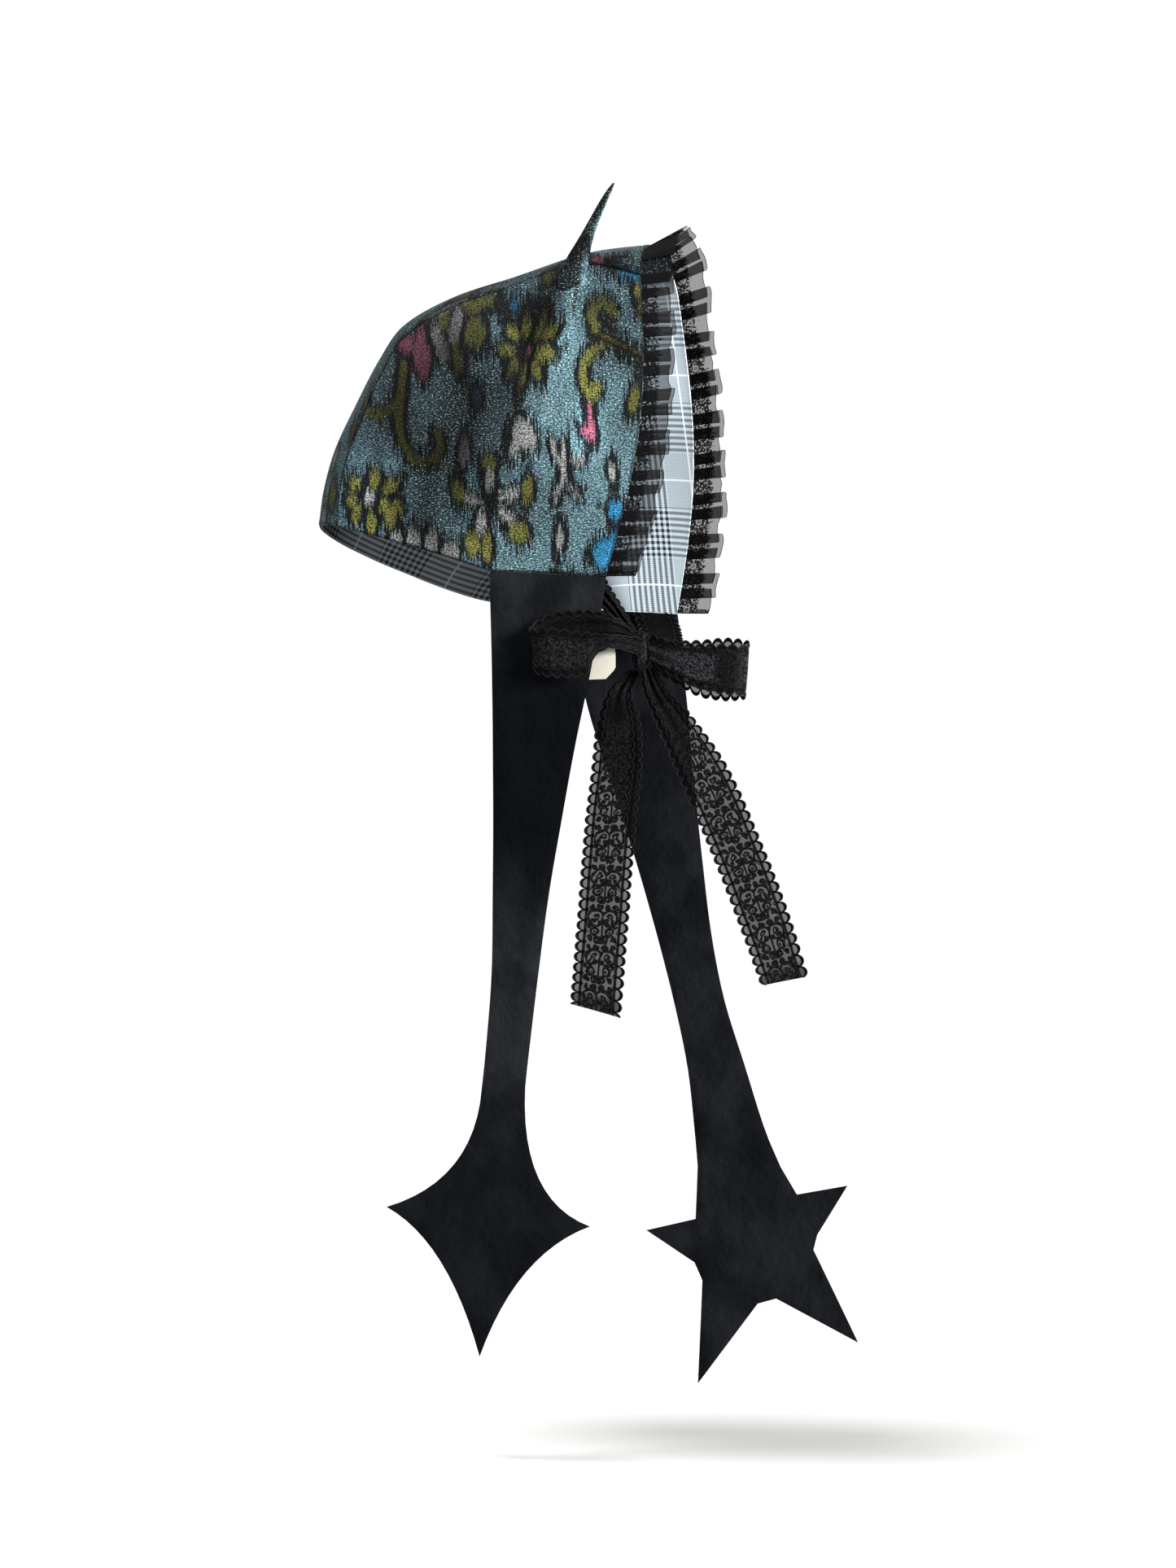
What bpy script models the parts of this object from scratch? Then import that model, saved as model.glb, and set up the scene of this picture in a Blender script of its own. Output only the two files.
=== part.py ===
"""Horned bonnet: panelled crown, plaid lining, pleated ruffle, star-ended straps and a lace bow.

Metres, +Z up. The wearer faces -Y and the wearer's right is -X. The origin is the top of the
hollow, where the crown sits on a head. Tables are in millimetres: forward is -Y, side is X.
"""
import math
from bisect import bisect_right
from collections import namedtuple

import bmesh
import bpy
from mathutils import Vector

MM = 0.001

# Step along share and turn for slopes
NUDGE = 0.001

# Cloth layers
WALL = 1.5 * MM
LINING_GAP = 0.4 * MM
LINING = 1.0 * MM
JOIN_GAP = 0.3 * MM
HEM_DROP = 0.75 * MM
LACE = 1.0 * MM
LABEL = 0.6 * MM

# Crown
HALF_WIDTH = 95 * MM
# The face edge bows forward between crest and hem
FRONT_BOW = 14 * MM
FRONT_BOW_LOW = 1.15
# The face edge is a narrow arch with straight sides, and the crown grows round towards the neck
FRONT_ROUNDING = 0.52
ROUNDING_GROWTH = 0.8
FRONT_SHOULDER = 0.10
SHOULDER_GROWTH = 1.5

Crest = namedtuple("Crest", "share forward up")
CREST = (
    Crest(0.000, 68, 9),
    Crest(0.130, 21, 6.5),
    Crest(0.290, -35, -6),
    Crest(0.430, -85, -17.5),
    Crest(0.550, -125, -36),
    Crest(0.630, -144, -60),
    Crest(0.740, -163, -93),
    Crest(0.840, -180, -126),
    Crest(0.925, -189, -156),
    Crest(1.000, -193, -183),
)
HemCorner = namedtuple("HemCorner", "forward up")
HEM_FRONT = HemCorner(56, -246)
HEM_BACK = HemCorner(-29, -238)

# How far the neck edge hangs below a straight line, from the right hem to the left
Neck = namedtuple("Neck", "turn up")
NECK = (
    Neck(-1.00, 0),
    Neck(-0.45, 0),
    Neck(-0.20, -1.5),
    Neck(0.00, -5),
    Neck(0.23, -9.5),
    Neck(0.47, -13.5),
    Neck(0.74, -16),
    Neck(0.90, -9),
    Neck(1.00, 0),
)
NECK_START = 0.5

# Where the crown band meets the side panels, as a share of the way from crest to hem
Seam = namedtuple("Seam", "share drop")
SEAM = (
    Seam(0.00, 0.130),
    Seam(0.12, 0.080),
    Seam(0.30, 0.075),
    Seam(0.60, 0.100),
    Seam(1.00, 0.200),
)

# Soft folds of the side panels: a bump outwards, or a dent where the height is negative
Fold = namedtuple("Fold", "turn_sign share drop share_reach drop_reach height")
FOLDS = (
    Fold(-1, 0.18, 0.18, 0.050, 0.100, 4.0),
    Fold(-1, 0.09, 0.21, 0.035, 0.080, -2.5),
    Fold(-1, 0.30, 0.33, 0.040, 0.120, -3.0),
    Fold(-1, 0.55, 0.62, 0.070, 0.140, 2.5),
    Fold(-1, 0.80, 0.75, 0.060, 0.120, -2.5),
    Fold(1, 0.20, 0.35, 0.060, 0.150, -2.5),
    Fold(1, 0.55, 0.60, 0.080, 0.150, -3.0),
)

# Stretches of the crown from face edge to neck edge, cut finer round the horn
Stretch = namedtuple("Stretch", "start end steps")
STRETCHES = (
    Stretch(0.00, 0.08, 3),
    Stretch(0.08, 0.22, 7),
    Stretch(0.22, 1.00, 16),
)
BAND_STEPS = 6
PANEL_STEPS = 12

# Horn on the right panel, just under its seam
HORN_SHARE = 0.150
HORN_DROP = 0.125
HORN_BEND = Vector((-59, -37, 21)) * MM
HORN_TIP = Vector((-58, -51, 43)) * MM
# The rings lean from the panel's plane to the axis up to this way, by the axis's last piece
HORN_LEAN = 0.5
HORN_PIECE = 0.05
HORN_DEPTH = 1.1 * MM
HORN_SIDES = 10
HornRing = namedtuple("HornRing", "way radius")
HORN_RINGS = (
    HornRing(0.00, 10.5),
    HornRing(0.15, 8.6),
    HornRing(0.30, 5.5),
    HornRing(0.50, 3.6),
    HornRing(0.75, 2.4),
    HornRing(0.90, 1.6),
    HornRing(1.00, 0.8),
)

# Pleated ruffle along the face edge
PLEATS = 20
PLEAT_PARTS = 50
EDGE_SAMPLES = 600
RUFFLE_WIDTH = 21 * MM
RUFFLE_WALL = 1.2 * MM
RUFFLE_GAP = 1.0 * MM
PLEAT_RISE = 3.4 * MM
PLEAT_EXTRA = 3 * MM
FOOT_RISE = 0.25
FACE_SHARE = 0.56
FOLD_SHARE = 0.06
SIDE_FLARE = math.radians(5)
# Over the crest the ruffle is wider and stands up more
TOP_WIDTH = 4.5 * MM
TOP_FLARE = math.radians(18)
TOP_REACH = 0.30

# Straps, flat plates that hang from the side hems
STRAP_WALL = 1.5 * MM
STRAP_ROW = 26 * MM
STRAP_SWAY = 2.5 * MM
STRAP_SWAYS = 1.5
SWAY_START = 0.25
CUT_MERGE = 1e-6
Strap = namedtuple("Strap", "up rear front")
STRAP_RIGHT = (
    Strap(-600, -34, -2.5),
    Strap(-579, -32, -0.5),
    Strap(-523, -28, 6),
    Strap(-467, -27, 14),
    Strap(-410, -26, 25),
    Strap(-360, -26, 35),
    Strap(-313, -27, 45),
    Strap(-255, -29, 55),
)
STRAP_LEFT = (
    Strap(-660, 70, 133),
    Strap(-634, 68, 122),
    Strap(-586, 63, 107),
    Strap(-538, 53, 92),
    Strap(-489, 40, 82),
    Strap(-436, 24, 75),
    Strap(-375, 4, 68),
    Strap(-316, -15, 63),
    Strap(-255, -28, 57),
)
# Four-point star: concave arcs from the strap's edges round its three free tips
Arc = namedtuple("Arc", "bend_forward bend_up end_forward end_up")
STAR_FOUR = (
    Arc(-38, -664, -103, -683),
    Arc(-57, -706, -35, -784),
    Arc(-7, -713, 45, -694),
    Arc(-5, -677, -2.5, -600),
)
# Five-point star: straight sides between its four free tips and the notches beside them
Corner = namedtuple("Corner", "forward up")
STAR_FIVE = (
    Corner(68, -699),
    Corner(30, -708),
    Corner(67, -731),
    Corner(73, -744),
    Corner(70, -819),
    Corner(115, -760),
    Corner(129, -756),
    Corner(190, -786),
    Corner(157, -720),
    Corner(160, -709),
    Corner(183, -673),
    Corner(145, -680),
)
ARC_STEPS = 7
# Points down each strap's long edges
RIGHT_ROWS = 9
LEFT_ROWS = 12

# Lace ribbons: each row gives the two long edges of the ribbon
Ribbon = namedtuple("Ribbon", "way forward_a side_a up_a forward_b side_b up_b")
TIE_RIGHT = (
    Ribbon(0.00, 21, -92.6, -243.9, 55, -92.6, -247.1),
    Ribbon(0.20, 29, -89.5, -250, 57, -89.5, -252),
    Ribbon(0.55, 47, -83, -265, 62, -82, -263),
    Ribbon(1.00, 63, -69.5, -282.2, 70, -66.5, -281.9),
)
TIE_LEFT = (
    Ribbon(0.00, 21, 92.6, -243.9, 55, 92.6, -247.1),
    Ribbon(0.18, 32, 72, -262, 64, 74, -262),
    Ribbon(0.45, 46, 32, -281, 76, 34, -279),
    Ribbon(0.75, 58, -12, -290, 80, -12, -288),
    Ribbon(1.00, 66, -54.3, -289, 77, -54.3, -288),
)
LOOP_BACK = (
    Ribbon(0.00, 75, -70.9, -288, 75, -70.9, -302),
    Ribbon(0.08, 74, -90, -289, 74, -90, -304),
    Ribbon(0.15, 62, -103, -289, 62, -103, -309),
    Ribbon(0.23, 42, -109, -287, 42, -109, -315),
    Ribbon(0.33, 18, -112, -283, 22, -112, -318),
    Ribbon(0.42, 7, -110, -284, 11, -110, -315),
    Ribbon(0.48, 4, -106, -282, 7, -106, -311),
    Ribbon(0.54, 7, -102, -277, 9, -102, -306),
    Ribbon(0.64, 20, -99.5, -271, 21, -99.5, -302),
    Ribbon(0.76, 42, -99.5, -270, 42, -99.5, -298),
    Ribbon(0.86, 60, -99.5, -274, 60, -99.5, -294),
    Ribbon(0.92, 69, -92, -279, 69, -92, -292),
    Ribbon(1.00, 70, -70.9, -284, 70, -70.9, -292),
)
LOOP_FRONT = (
    Ribbon(0.00, 79.2, -67, -284, 79.2, -67, -306),
    Ribbon(0.10, 95, -71, -290, 95, -71, -314),
    Ribbon(0.20, 111, -73, -293, 110, -73, -322),
    Ribbon(0.33, 131, -73, -294, 129, -73, -328),
    Ribbon(0.44, 147, -69, -295, 144, -69, -330),
    Ribbon(0.50, 150, -62, -293, 147, -62, -330),
    Ribbon(0.56, 147, -55, -290, 144, -55, -331),
    Ribbon(0.67, 131, -51, -287, 129, -51, -331),
    Ribbon(0.80, 111, -52, -288, 110, -52, -327),
    Ribbon(0.90, 95, -56, -288, 95, -56, -318),
    Ribbon(1.00, 79.2, -60, -285, 79.2, -60, -308),
)
TAIL_BACK = (
    Ribbon(0.00, 61, -60, -308.5, 71, -60, -308.5),
    Ribbon(0.08, 48, -63, -322, 66, -63, -326),
    Ribbon(0.17, 41, -66, -342, 72, -66, -343),
    Ribbon(0.30, 38, -67, -372, 74, -67, -372),
    Ribbon(0.50, 32, -66, -418, 69, -66, -419),
    Ribbon(0.75, 26, -64, -482, 63, -64, -485),
    Ribbon(1.00, 20, -62, -544, 57, -62, -550),
)
TAIL_FRONT = (
    Ribbon(0.00, 73, -65, -308.3, 83, -65, -308.3),
    Ribbon(0.08, 75, -66, -325, 93, -66, -324),
    Ribbon(0.20, 86, -68, -352, 109, -68, -341),
    Ribbon(0.38, 104, -69, -393, 136, -69, -379),
    Ribbon(0.60, 124, -66, -440, 158, -66, -429),
    Ribbon(0.80, 142, -64, -487, 176, -64, -476),
    Ribbon(1.00, 158, -62, -532, 190, -62, -522),
)
RibbonPlan = namedtuple("RibbonPlan", "node table steps")
RIBBONS = (
    RibbonPlan("lace_tie_right", TIE_RIGHT, 6),
    RibbonPlan("lace_tie_left", TIE_LEFT, 12),
    RibbonPlan("bow_loop_back", LOOP_BACK, 22),
    RibbonPlan("bow_loop_front", LOOP_FRONT, 22),
    RibbonPlan("bow_tail_back", TAIL_BACK, 14),
    RibbonPlan("bow_tail_front", TAIL_FRONT, 14),
)
KNOT_CENTRE = Vector((-62.5, -71.3, -294.7)) * MM
KNOT_SIZE = Vector((18, 16.6, 28)) * MM
KNOT_SEGMENTS = 12
KNOT_RINGS = 8
KNOT_GATHERS = 6
KNOT_RIDGE = 0.07

# Care label, sewn inside the right strap
LABEL_FRONT = 62.5
LABEL_BACK = 43
LABEL_TOP = -252
LABEL_BOTTOM = -318
LABEL_CUT = 7
LABEL_SLANT = 17.5
LABEL_SIDE = -93.2

Finish = namedtuple("Finish", "red green blue roughness")
FINISHES = {
    "teal_cloth": Finish(0.12, 0.24, 0.29, 0.55),
    "plaid_lining": Finish(0.50, 0.55, 0.62, 0.90),
    "organza": Finish(0.03, 0.03, 0.04, 0.60),
    "black_cotton": Finish(0.012, 0.013, 0.018, 0.90),
    "black_lace": Finish(0.015, 0.015, 0.018, 0.80),
    "label_tape": Finish(0.80, 0.75, 0.66, 0.85),
}


def mix(low, high, share):
    """The value that lies a share of the way from low to high."""
    return low + (high - low) * share


def place(forward, side, up):
    """A table's millimetres as a point of the model."""
    return Vector((side, -forward, up)) * MM


def between(rows, at):
    """A table's other columns, smoothly read where its first column has the value at."""
    keys = [row[0] for row in rows]
    low = min(max(bisect_right(keys, at) - 1, 0), len(rows) - 2)
    span = keys[low + 1] - keys[low]
    x = (at - keys[low]) / span

    def slope(index, column):
        first = max(index - 1, 0)
        last = min(index + 1, len(rows) - 1)
        return (rows[last][column] - rows[first][column]) / (keys[last] - keys[first])

    values = []
    for column in range(1, len(rows[0])):
        start = rows[low][column]
        end = rows[low + 1][column]
        rise = end - start
        bend_in = slope(low, column) * span - rise
        bend_out = rise - slope(low + 1, column) * span
        values.append(start + rise * x + x * (1 - x) * (bend_in * (1 - x) + bend_out * x))
    return values


def dome(way):
    """A quarter circle: 0 at 0, and 1 from 1 on."""
    return math.sqrt(1 - (1 - min(way, 1)) ** 2)


def fold_height(share, turn):
    """How far the panels' soft folds push the cloth outwards."""
    height = 0
    for fold in FOLDS:
        if fold.turn_sign * turn > 0:
            across = (share - fold.share) / fold.share_reach
            down = (turn * turn - fold.drop) / fold.drop_reach
            height += fold.height * math.exp(-across * across - down * down)
    return height * MM


def crown_point(share, turn):
    """Outer face of the crown. Share runs from the face edge to the neck edge, and turn from -1
    at the right hem over 0 at the crest to 1 at the left hem."""
    drop = turn * turn
    crest_forward, crest_up = between(CREST, share)
    hem_forward = mix(HEM_FRONT.forward, HEM_BACK.forward, share)
    hem_up = mix(HEM_FRONT.up, HEM_BACK.up, share)
    bow = FRONT_BOW * (1 - share) ** 2 * math.sin(math.pi * min(drop, 1) ** FRONT_BOW_LOW)
    rounding = mix(FRONT_ROUNDING, 1, share ** ROUNDING_GROWTH)
    shoulder = mix(FRONT_SHOULDER, 1, share ** SHOULDER_GROWTH)
    half_width = HALF_WIDTH * (rounding * dome(drop / shoulder) + (1 - rounding) * drop)
    point = place(mix(crest_forward, hem_forward, drop), 0, mix(crest_up, hem_up, drop))
    point.x = math.copysign(half_width + fold_height(share, turn), turn)
    point.y -= bow
    neckwards = max((share - NECK_START) / (1 - NECK_START), 0)
    point.z += between(NECK, min(max(turn, -1), 1))[0] * MM * neckwards ** 2
    return point


def crown_frame(share, turn):
    """The crown's outward direction and its direction towards the neck."""
    first = max(share - NUDGE, 0)
    last = min(share + NUDGE, 1)
    backward = (crown_point(last, turn) - crown_point(first, turn)).normalized()
    across = crown_point(share, turn + NUDGE) - crown_point(share, turn - NUDGE)
    return across.cross(backward).normalized(), backward


def crown_layer(share, turn, depth):
    """A point under the crown's outer face."""
    outward, _ = crown_frame(share, turn)
    return crown_point(share, turn) - outward * depth


def seam_turn(share):
    """Where the band's seam lies across the crown."""
    return math.sqrt(between(SEAM, share)[0])


def make_material(name):
    """A plain finish of the piece's colour."""
    finish = FINISHES[name]
    material = bpy.data.materials.new(name)
    material.use_nodes = True
    shader = material.node_tree.nodes["Principled BSDF"]
    shader.inputs["Base Color"].default_value = (finish.red, finish.green, finish.blue, 1)
    shader.inputs["Roughness"].default_value = finish.roughness
    shader.inputs["Metallic"].default_value = 0
    return material


def add_object(name, mesh_builder, finish):
    """Turn a bmesh into a named object with its own finish."""
    bmesh.ops.recalc_face_normals(mesh_builder, faces=mesh_builder.faces)
    mesh = bpy.data.meshes.new(name)
    mesh_builder.to_mesh(mesh)
    mesh_builder.free()
    mesh.materials.append(make_material(finish))
    item = bpy.data.objects.new(name, mesh)
    bpy.context.collection.objects.link(item)
    return item


def cloth_solid(outer, inner):
    """A closed sheet between two grids of points, with both cut into triangles alike."""
    shape = bmesh.new()
    rows = len(outer)
    columns = len(outer[0])
    faces = [[[shape.verts.new(point) for point in row] for row in grid] for grid in (outer, inner)]
    for grid in faces:
        for i in range(rows - 1):
            for j in range(columns - 1):
                shape.faces.new((grid[i][j], grid[i + 1][j], grid[i + 1][j + 1]))
                shape.faces.new((grid[i][j], grid[i + 1][j + 1], grid[i][j + 1]))
    rim = [(i, 0) for i in range(rows)]
    rim += [(rows - 1, j) for j in range(1, columns)]
    rim += [(i, columns - 1) for i in range(rows - 2, -1, -1)]
    rim += [(0, j) for j in range(columns - 2, 0, -1)]
    for here, there in zip(rim, rim[1:] + rim[:1]):
        a, b = (faces[0][i][j] for i, j in (here, there))
        c, d = (faces[1][i][j] for i, j in (there, here))
        shape.faces.new((a, b, c))
        shape.faces.new((a, c, d))
    return shape


def crown_sheet(turns_at, top, bottom):
    """A closed sheet of the crown between two depths, across the turns of each share."""
    shares = [0]
    for part in STRETCHES:
        shares += [mix(part.start, part.end, (step + 1) / part.steps) for step in range(part.steps)]
    outer = [[crown_layer(share, turn, top) for turn in turns_at(share)] for share in shares]
    inner = [[crown_layer(share, turn, bottom) for turn in turns_at(share)] for share in shares]
    return cloth_solid(outer, inner)


def seam_gap(share):
    """Half the gap beside a seam, as a turn."""
    turn = seam_turn(share)
    pace = (crown_point(share, turn + NUDGE) - crown_point(share, turn)).length / NUDGE
    return JOIN_GAP / 2 / pace


def band_turns(share):
    """Turns across the crown band."""
    edge = seam_turn(share) - seam_gap(share)
    return [mix(-edge, edge, step / BAND_STEPS) for step in range(BAND_STEPS + 1)]


def panel_turns(share):
    """Turns across a side panel, from its seam to its hem."""
    edge = seam_turn(share) + seam_gap(share)
    return [mix(edge, 1, step / PANEL_STEPS) for step in range(PANEL_STEPS + 1)]


def right_turns(share):
    """Turns across the right panel, from its hem to its seam."""
    return [-turn for turn in reversed(panel_turns(share))]


def lining_turns(share):
    """Turns across the lining, on the same lines as the cloth over it."""
    return right_turns(share) + band_turns(share)[1:-1] + panel_turns(share)


def horn_axis(way):
    """The horn's middle line, from inside the cloth to the tip."""
    foot = crown_layer(HORN_SHARE, -math.sqrt(HORN_DROP), HORN_DEPTH)
    return foot.lerp(HORN_BEND, way).lerp(HORN_BEND.lerp(HORN_TIP, way), way)


def horn_solid():
    """The horn, with its foot inside the panel's wall."""
    shape = bmesh.new()
    outward, _ = crown_frame(HORN_SHARE, -math.sqrt(HORN_DROP))
    angles = [math.tau * side / HORN_SIDES for side in range(HORN_SIDES)]
    foot = HORN_RINGS[0].radius * MM
    rings = []
    for radius in (foot / 2, foot):
        rings.append([shape.verts.new(horn_foot(angle, radius)) for angle in angles])
    for ring in HORN_RINGS[1:]:
        centre = horn_axis(ring.way)
        lean = min(ring.way / HORN_LEAN, 1)
        along = outward.lerp((centre - horn_axis(ring.way - HORN_PIECE)).normalized(), lean)
        backward = along.cross(Vector((1, 0, 0))).normalized() * ring.radius * MM
        inward = backward.cross(along.normalized())
        arms = [backward * math.cos(angle) + inward * math.sin(angle) for angle in angles]
        rings.append([shape.verts.new(centre + arm) for arm in arms])
    for lower, upper in zip(rings, rings[1:]):
        for side in range(HORN_SIDES):
            after = (side + 1) % HORN_SIDES
            shape.faces.new((lower[side], lower[after], upper[after]))
            shape.faces.new((lower[side], upper[after], upper[side]))
    for circle, middle in ((rings[0], horn_axis(0)), (rings[-1], horn_axis(1))):
        hub = shape.verts.new(middle)
        for side in range(HORN_SIDES):
            shape.faces.new((circle[side], circle[(side + 1) % HORN_SIDES], hub))
    return shape


def horn_foot(angle, radius):
    """A point of the horn's foot, inside the panel's wall."""
    turn = -math.sqrt(HORN_DROP)
    middle = crown_point(HORN_SHARE, turn)
    share_pace = (crown_point(HORN_SHARE + NUDGE, turn) - middle).length / NUDGE
    turn_pace = (crown_point(HORN_SHARE, turn + NUDGE) - middle).length / NUDGE
    share = HORN_SHARE + math.cos(angle) * radius / share_pace
    return crown_layer(share, turn + math.sin(angle) * radius / turn_pace, HORN_DEPTH)


def make_crown():
    """The crown band, both side panels with the horn on the right one, and the lining."""
    add_object("crown_band", crown_sheet(band_turns, 0, WALL), "teal_cloth")
    add_object("side_panel_left", crown_sheet(panel_turns, 0, WALL), "teal_cloth")
    right = add_object("side_panel_right", crown_sheet(right_turns, 0, WALL), "teal_cloth")
    horn = add_object("horn_shape", horn_solid(), "teal_cloth")
    horn.hide_render = True
    horn.display_type = "WIRE"
    union = right.modifiers.new("horn", "BOOLEAN")
    union.operation = "UNION"
    union.solver = "EXACT"
    union.object = horn
    depth = WALL + LINING_GAP
    add_object("lining", crown_sheet(lining_turns, depth, depth + LINING), "plaid_lining")


def even_turns(count):
    """Turns along the face edge that are spaced evenly along its length."""
    turns = [mix(-1, 1, step / EDGE_SAMPLES) for step in range(EDGE_SAMPLES + 1)]
    lengths = [0]
    for first, second in zip(turns, turns[1:]):
        lengths.append(lengths[-1] + (crown_point(0, second) - crown_point(0, first)).length)
    result = []
    for step in range(count + 1):
        target = lengths[-1] * step / count
        index = min(max(bisect_right(lengths, target) - 1, 0), EDGE_SAMPLES - 1)
        rest = (target - lengths[index]) / (lengths[index + 1] - lengths[index])
        result.append(mix(turns[index], turns[index + 1], rest))
    return result


def make_ruffle():
    """A strip of box pleats in front of the face edge: raised faces, sunk gaps, steep folds."""
    parts = (0, FOLD_SHARE, FACE_SHARE, FACE_SHARE + FOLD_SHARE)
    raised = (0, 1, 1, 0)
    evenly = even_turns(PLEATS * PLEAT_PARTS)
    outer = []
    inner = []
    for pleat in range(PLEATS):
        for part, rise in zip(parts, raised):
            turn = evenly[pleat * PLEAT_PARTS + round(part * PLEAT_PARTS)]
            add_ruffle_row(outer, inner, turn, rise)
    add_ruffle_row(outer, inner, evenly[-1], 0)
    add_object("ruffle", cloth_solid(outer, inner), "organza")


def add_ruffle_row(outer, inner, turn, rise):
    """One row of points across the ruffle, from the face edge to its free edge."""
    outward, backward = crown_frame(0, turn)
    crestwards = math.exp(-(turn / TOP_REACH) ** 2)
    flare = SIDE_FLARE + TOP_FLARE * crestwards
    forward = outward * math.sin(flare) - backward * math.cos(flare)
    normal = outward * math.cos(flare) + backward * math.sin(flare)
    foot = crown_layer(0, turn, (WALL + LINING_GAP + LINING) / 2) - backward * RUFFLE_GAP
    length = RUFFLE_WIDTH + TOP_WIDTH * crestwards + PLEAT_EXTRA * rise
    top = []
    bottom = []
    for way in (0, 0.5, 1):
        lift = PLEAT_RISE * rise * mix(FOOT_RISE, 1, way)
        thick = outward.lerp(normal, way).normalized()
        middle = foot + forward * length * way + thick * lift
        top.append(middle + thick * RUFFLE_WALL / 2)
        bottom.append(middle - thick * RUFFLE_WALL / 2)
    outer.append(top)
    inner.append(bottom)


def bezier(start, bend, end, steps):
    """Points of a quadratic arc after its start."""
    ways = [step / steps for step in range(1, steps + 1)]
    return [
        tuple(mix(mix(a, b, way), mix(b, c, way), way) for a, b, c in zip(start, bend, end))
        for way in ways
    ]


def strap_edge(table, column, rows):
    """One long edge of a strap, from its top row down."""
    top = table[-1].up
    bottom = table[0].up
    heights = [mix(top, bottom, step / rows) for step in range(rows + 1)]
    return [(between(table, up)[column], up) for up in heights]


def strap_outline(table, star, rows):
    """A strap's whole outline as forward and up: down its rear edge, round its star and back."""
    hem_gap = HEM_DROP / MM
    rear = [(HEM_BACK.forward, HEM_BACK.up - hem_gap)] + strap_edge(table, 0, rows)
    front = strap_edge(table, 1, rows) + [tuple(star[-1])]
    outline = rear + list(star[:-1]) + front[-2::-1]
    return outline + [(HEM_FRONT.forward, HEM_FRONT.up - hem_gap)]


def four_point_star():
    """Corners round the four-point star, ending at the strap's front edge."""
    points = []
    start = (STRAP_RIGHT[0].rear, STRAP_RIGHT[0].up)
    for arc in STAR_FOUR:
        end = (arc.end_forward, arc.end_up)
        points += bezier(start, (arc.bend_forward, arc.bend_up), end, ARC_STEPS)
        start = end
    return points


def five_point_star():
    """Corners round the five-point star, and then the strap's front edge."""
    strap_front = (STRAP_LEFT[0].front, STRAP_LEFT[0].up)
    return [(corner.forward, corner.up) for corner in STAR_FIVE] + [strap_front]


def make_strap(name, outline, sign):
    """A flat plate of the outline, cut into rows and bent a little to the sides as cloth hangs."""
    shape = bmesh.new()
    side = sign * (HALF_WIDTH - STRAP_WALL)
    face = shape.faces.new([shape.verts.new((side, -f * MM, up * MM)) for f, up in outline])
    grown = bmesh.ops.extrude_face_region(shape, geom=[face])["geom"]
    lifted = [item for item in grown if isinstance(item, bmesh.types.BMVert)]
    bmesh.ops.translate(shape, verts=lifted, vec=(sign * STRAP_WALL, 0, 0))
    top = HEM_FRONT.up * MM
    bottom = min(vert.co.z for vert in shape.verts)
    level = top - STRAP_ROW
    while level > bottom + STRAP_ROW / 2:
        everything = shape.verts[:] + shape.edges[:] + shape.faces[:]
        level_point = (0, 0, level)
        bmesh.ops.bisect_plane(
            shape, geom=everything, dist=CUT_MERGE, plane_co=level_point, plane_no=(0, 0, 1)
        )
        level -= STRAP_ROW
    bmesh.ops.triangulate(shape, faces=shape.faces[:])
    for vert in shape.verts:
        way = max(top - vert.co.z, 0) / (top - bottom)
        sway = math.sin(way * STRAP_SWAYS * math.tau) * min(way / SWAY_START, 1)
        vert.co.x += sign * STRAP_SWAY * sway
    add_object(name, shape, "black_cotton")


def make_ribbon(name, table, steps):
    """A lace ribbon through the rows of a table."""
    middle = []
    for step in range(steps + 1):
        forward_a, side_a, up_a, forward_b, side_b, up_b = between(table, step / steps)
        one = place(forward_a, side_a, up_a)
        other = place(forward_b, side_b, up_b)
        middle.append([one, (one + other) / 2, other])
    outer = []
    inner = []
    for step, row in enumerate(middle):
        before = middle[max(step - 1, 0)]
        after = middle[min(step + 1, steps)]
        normal = (after[1] - before[1]).cross(row[2] - row[0]).normalized() * LACE / 2
        outer.append([point + normal for point in row])
        inner.append([point - normal for point in row])
    add_object(name, cloth_solid(outer, inner), "black_lace")


def make_knot():
    """The wrapped knot in the middle of the bow: a soft lump with upright gathers."""
    shape = bmesh.new()
    bmesh.ops.create_uvsphere(shape, u_segments=KNOT_SEGMENTS, v_segments=KNOT_RINGS, radius=0.5)
    for vert in shape.verts:
        angle = math.atan2(vert.co.y, vert.co.x)
        ridge = 1 - KNOT_RIDGE * (1 + math.cos(angle * KNOT_GATHERS)) / 2
        vert.co.x *= KNOT_SIZE.x * ridge
        vert.co.y *= KNOT_SIZE.y * ridge
        vert.co.z *= KNOT_SIZE.z
        vert.co += KNOT_CENTRE
    bmesh.ops.triangulate(shape, faces=shape.faces[:])
    add_object("bow_knot", shape, "black_lace")


def make_label():
    """The care label, with one lower corner cut off."""
    outline = [
        (LABEL_BACK, LABEL_TOP),
        (LABEL_FRONT - LABEL_CUT, LABEL_TOP),
        (LABEL_FRONT, LABEL_BOTTOM + LABEL_SLANT),
        (LABEL_FRONT, LABEL_BOTTOM + LABEL_CUT),
        (LABEL_FRONT - LABEL_CUT, LABEL_BOTTOM),
        (LABEL_BACK, LABEL_BOTTOM),
    ]
    shape = bmesh.new()
    face = shape.faces.new([shape.verts.new(place(f, LABEL_SIDE, up)) for f, up in outline])
    grown = bmesh.ops.extrude_face_region(shape, geom=[face])["geom"]
    lifted = [item for item in grown if isinstance(item, bmesh.types.BMVert)]
    bmesh.ops.translate(shape, verts=lifted, vec=(LABEL, 0, 0))
    bmesh.ops.triangulate(shape, faces=shape.faces[:])
    add_object("care_label", shape, "label_tape")


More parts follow.
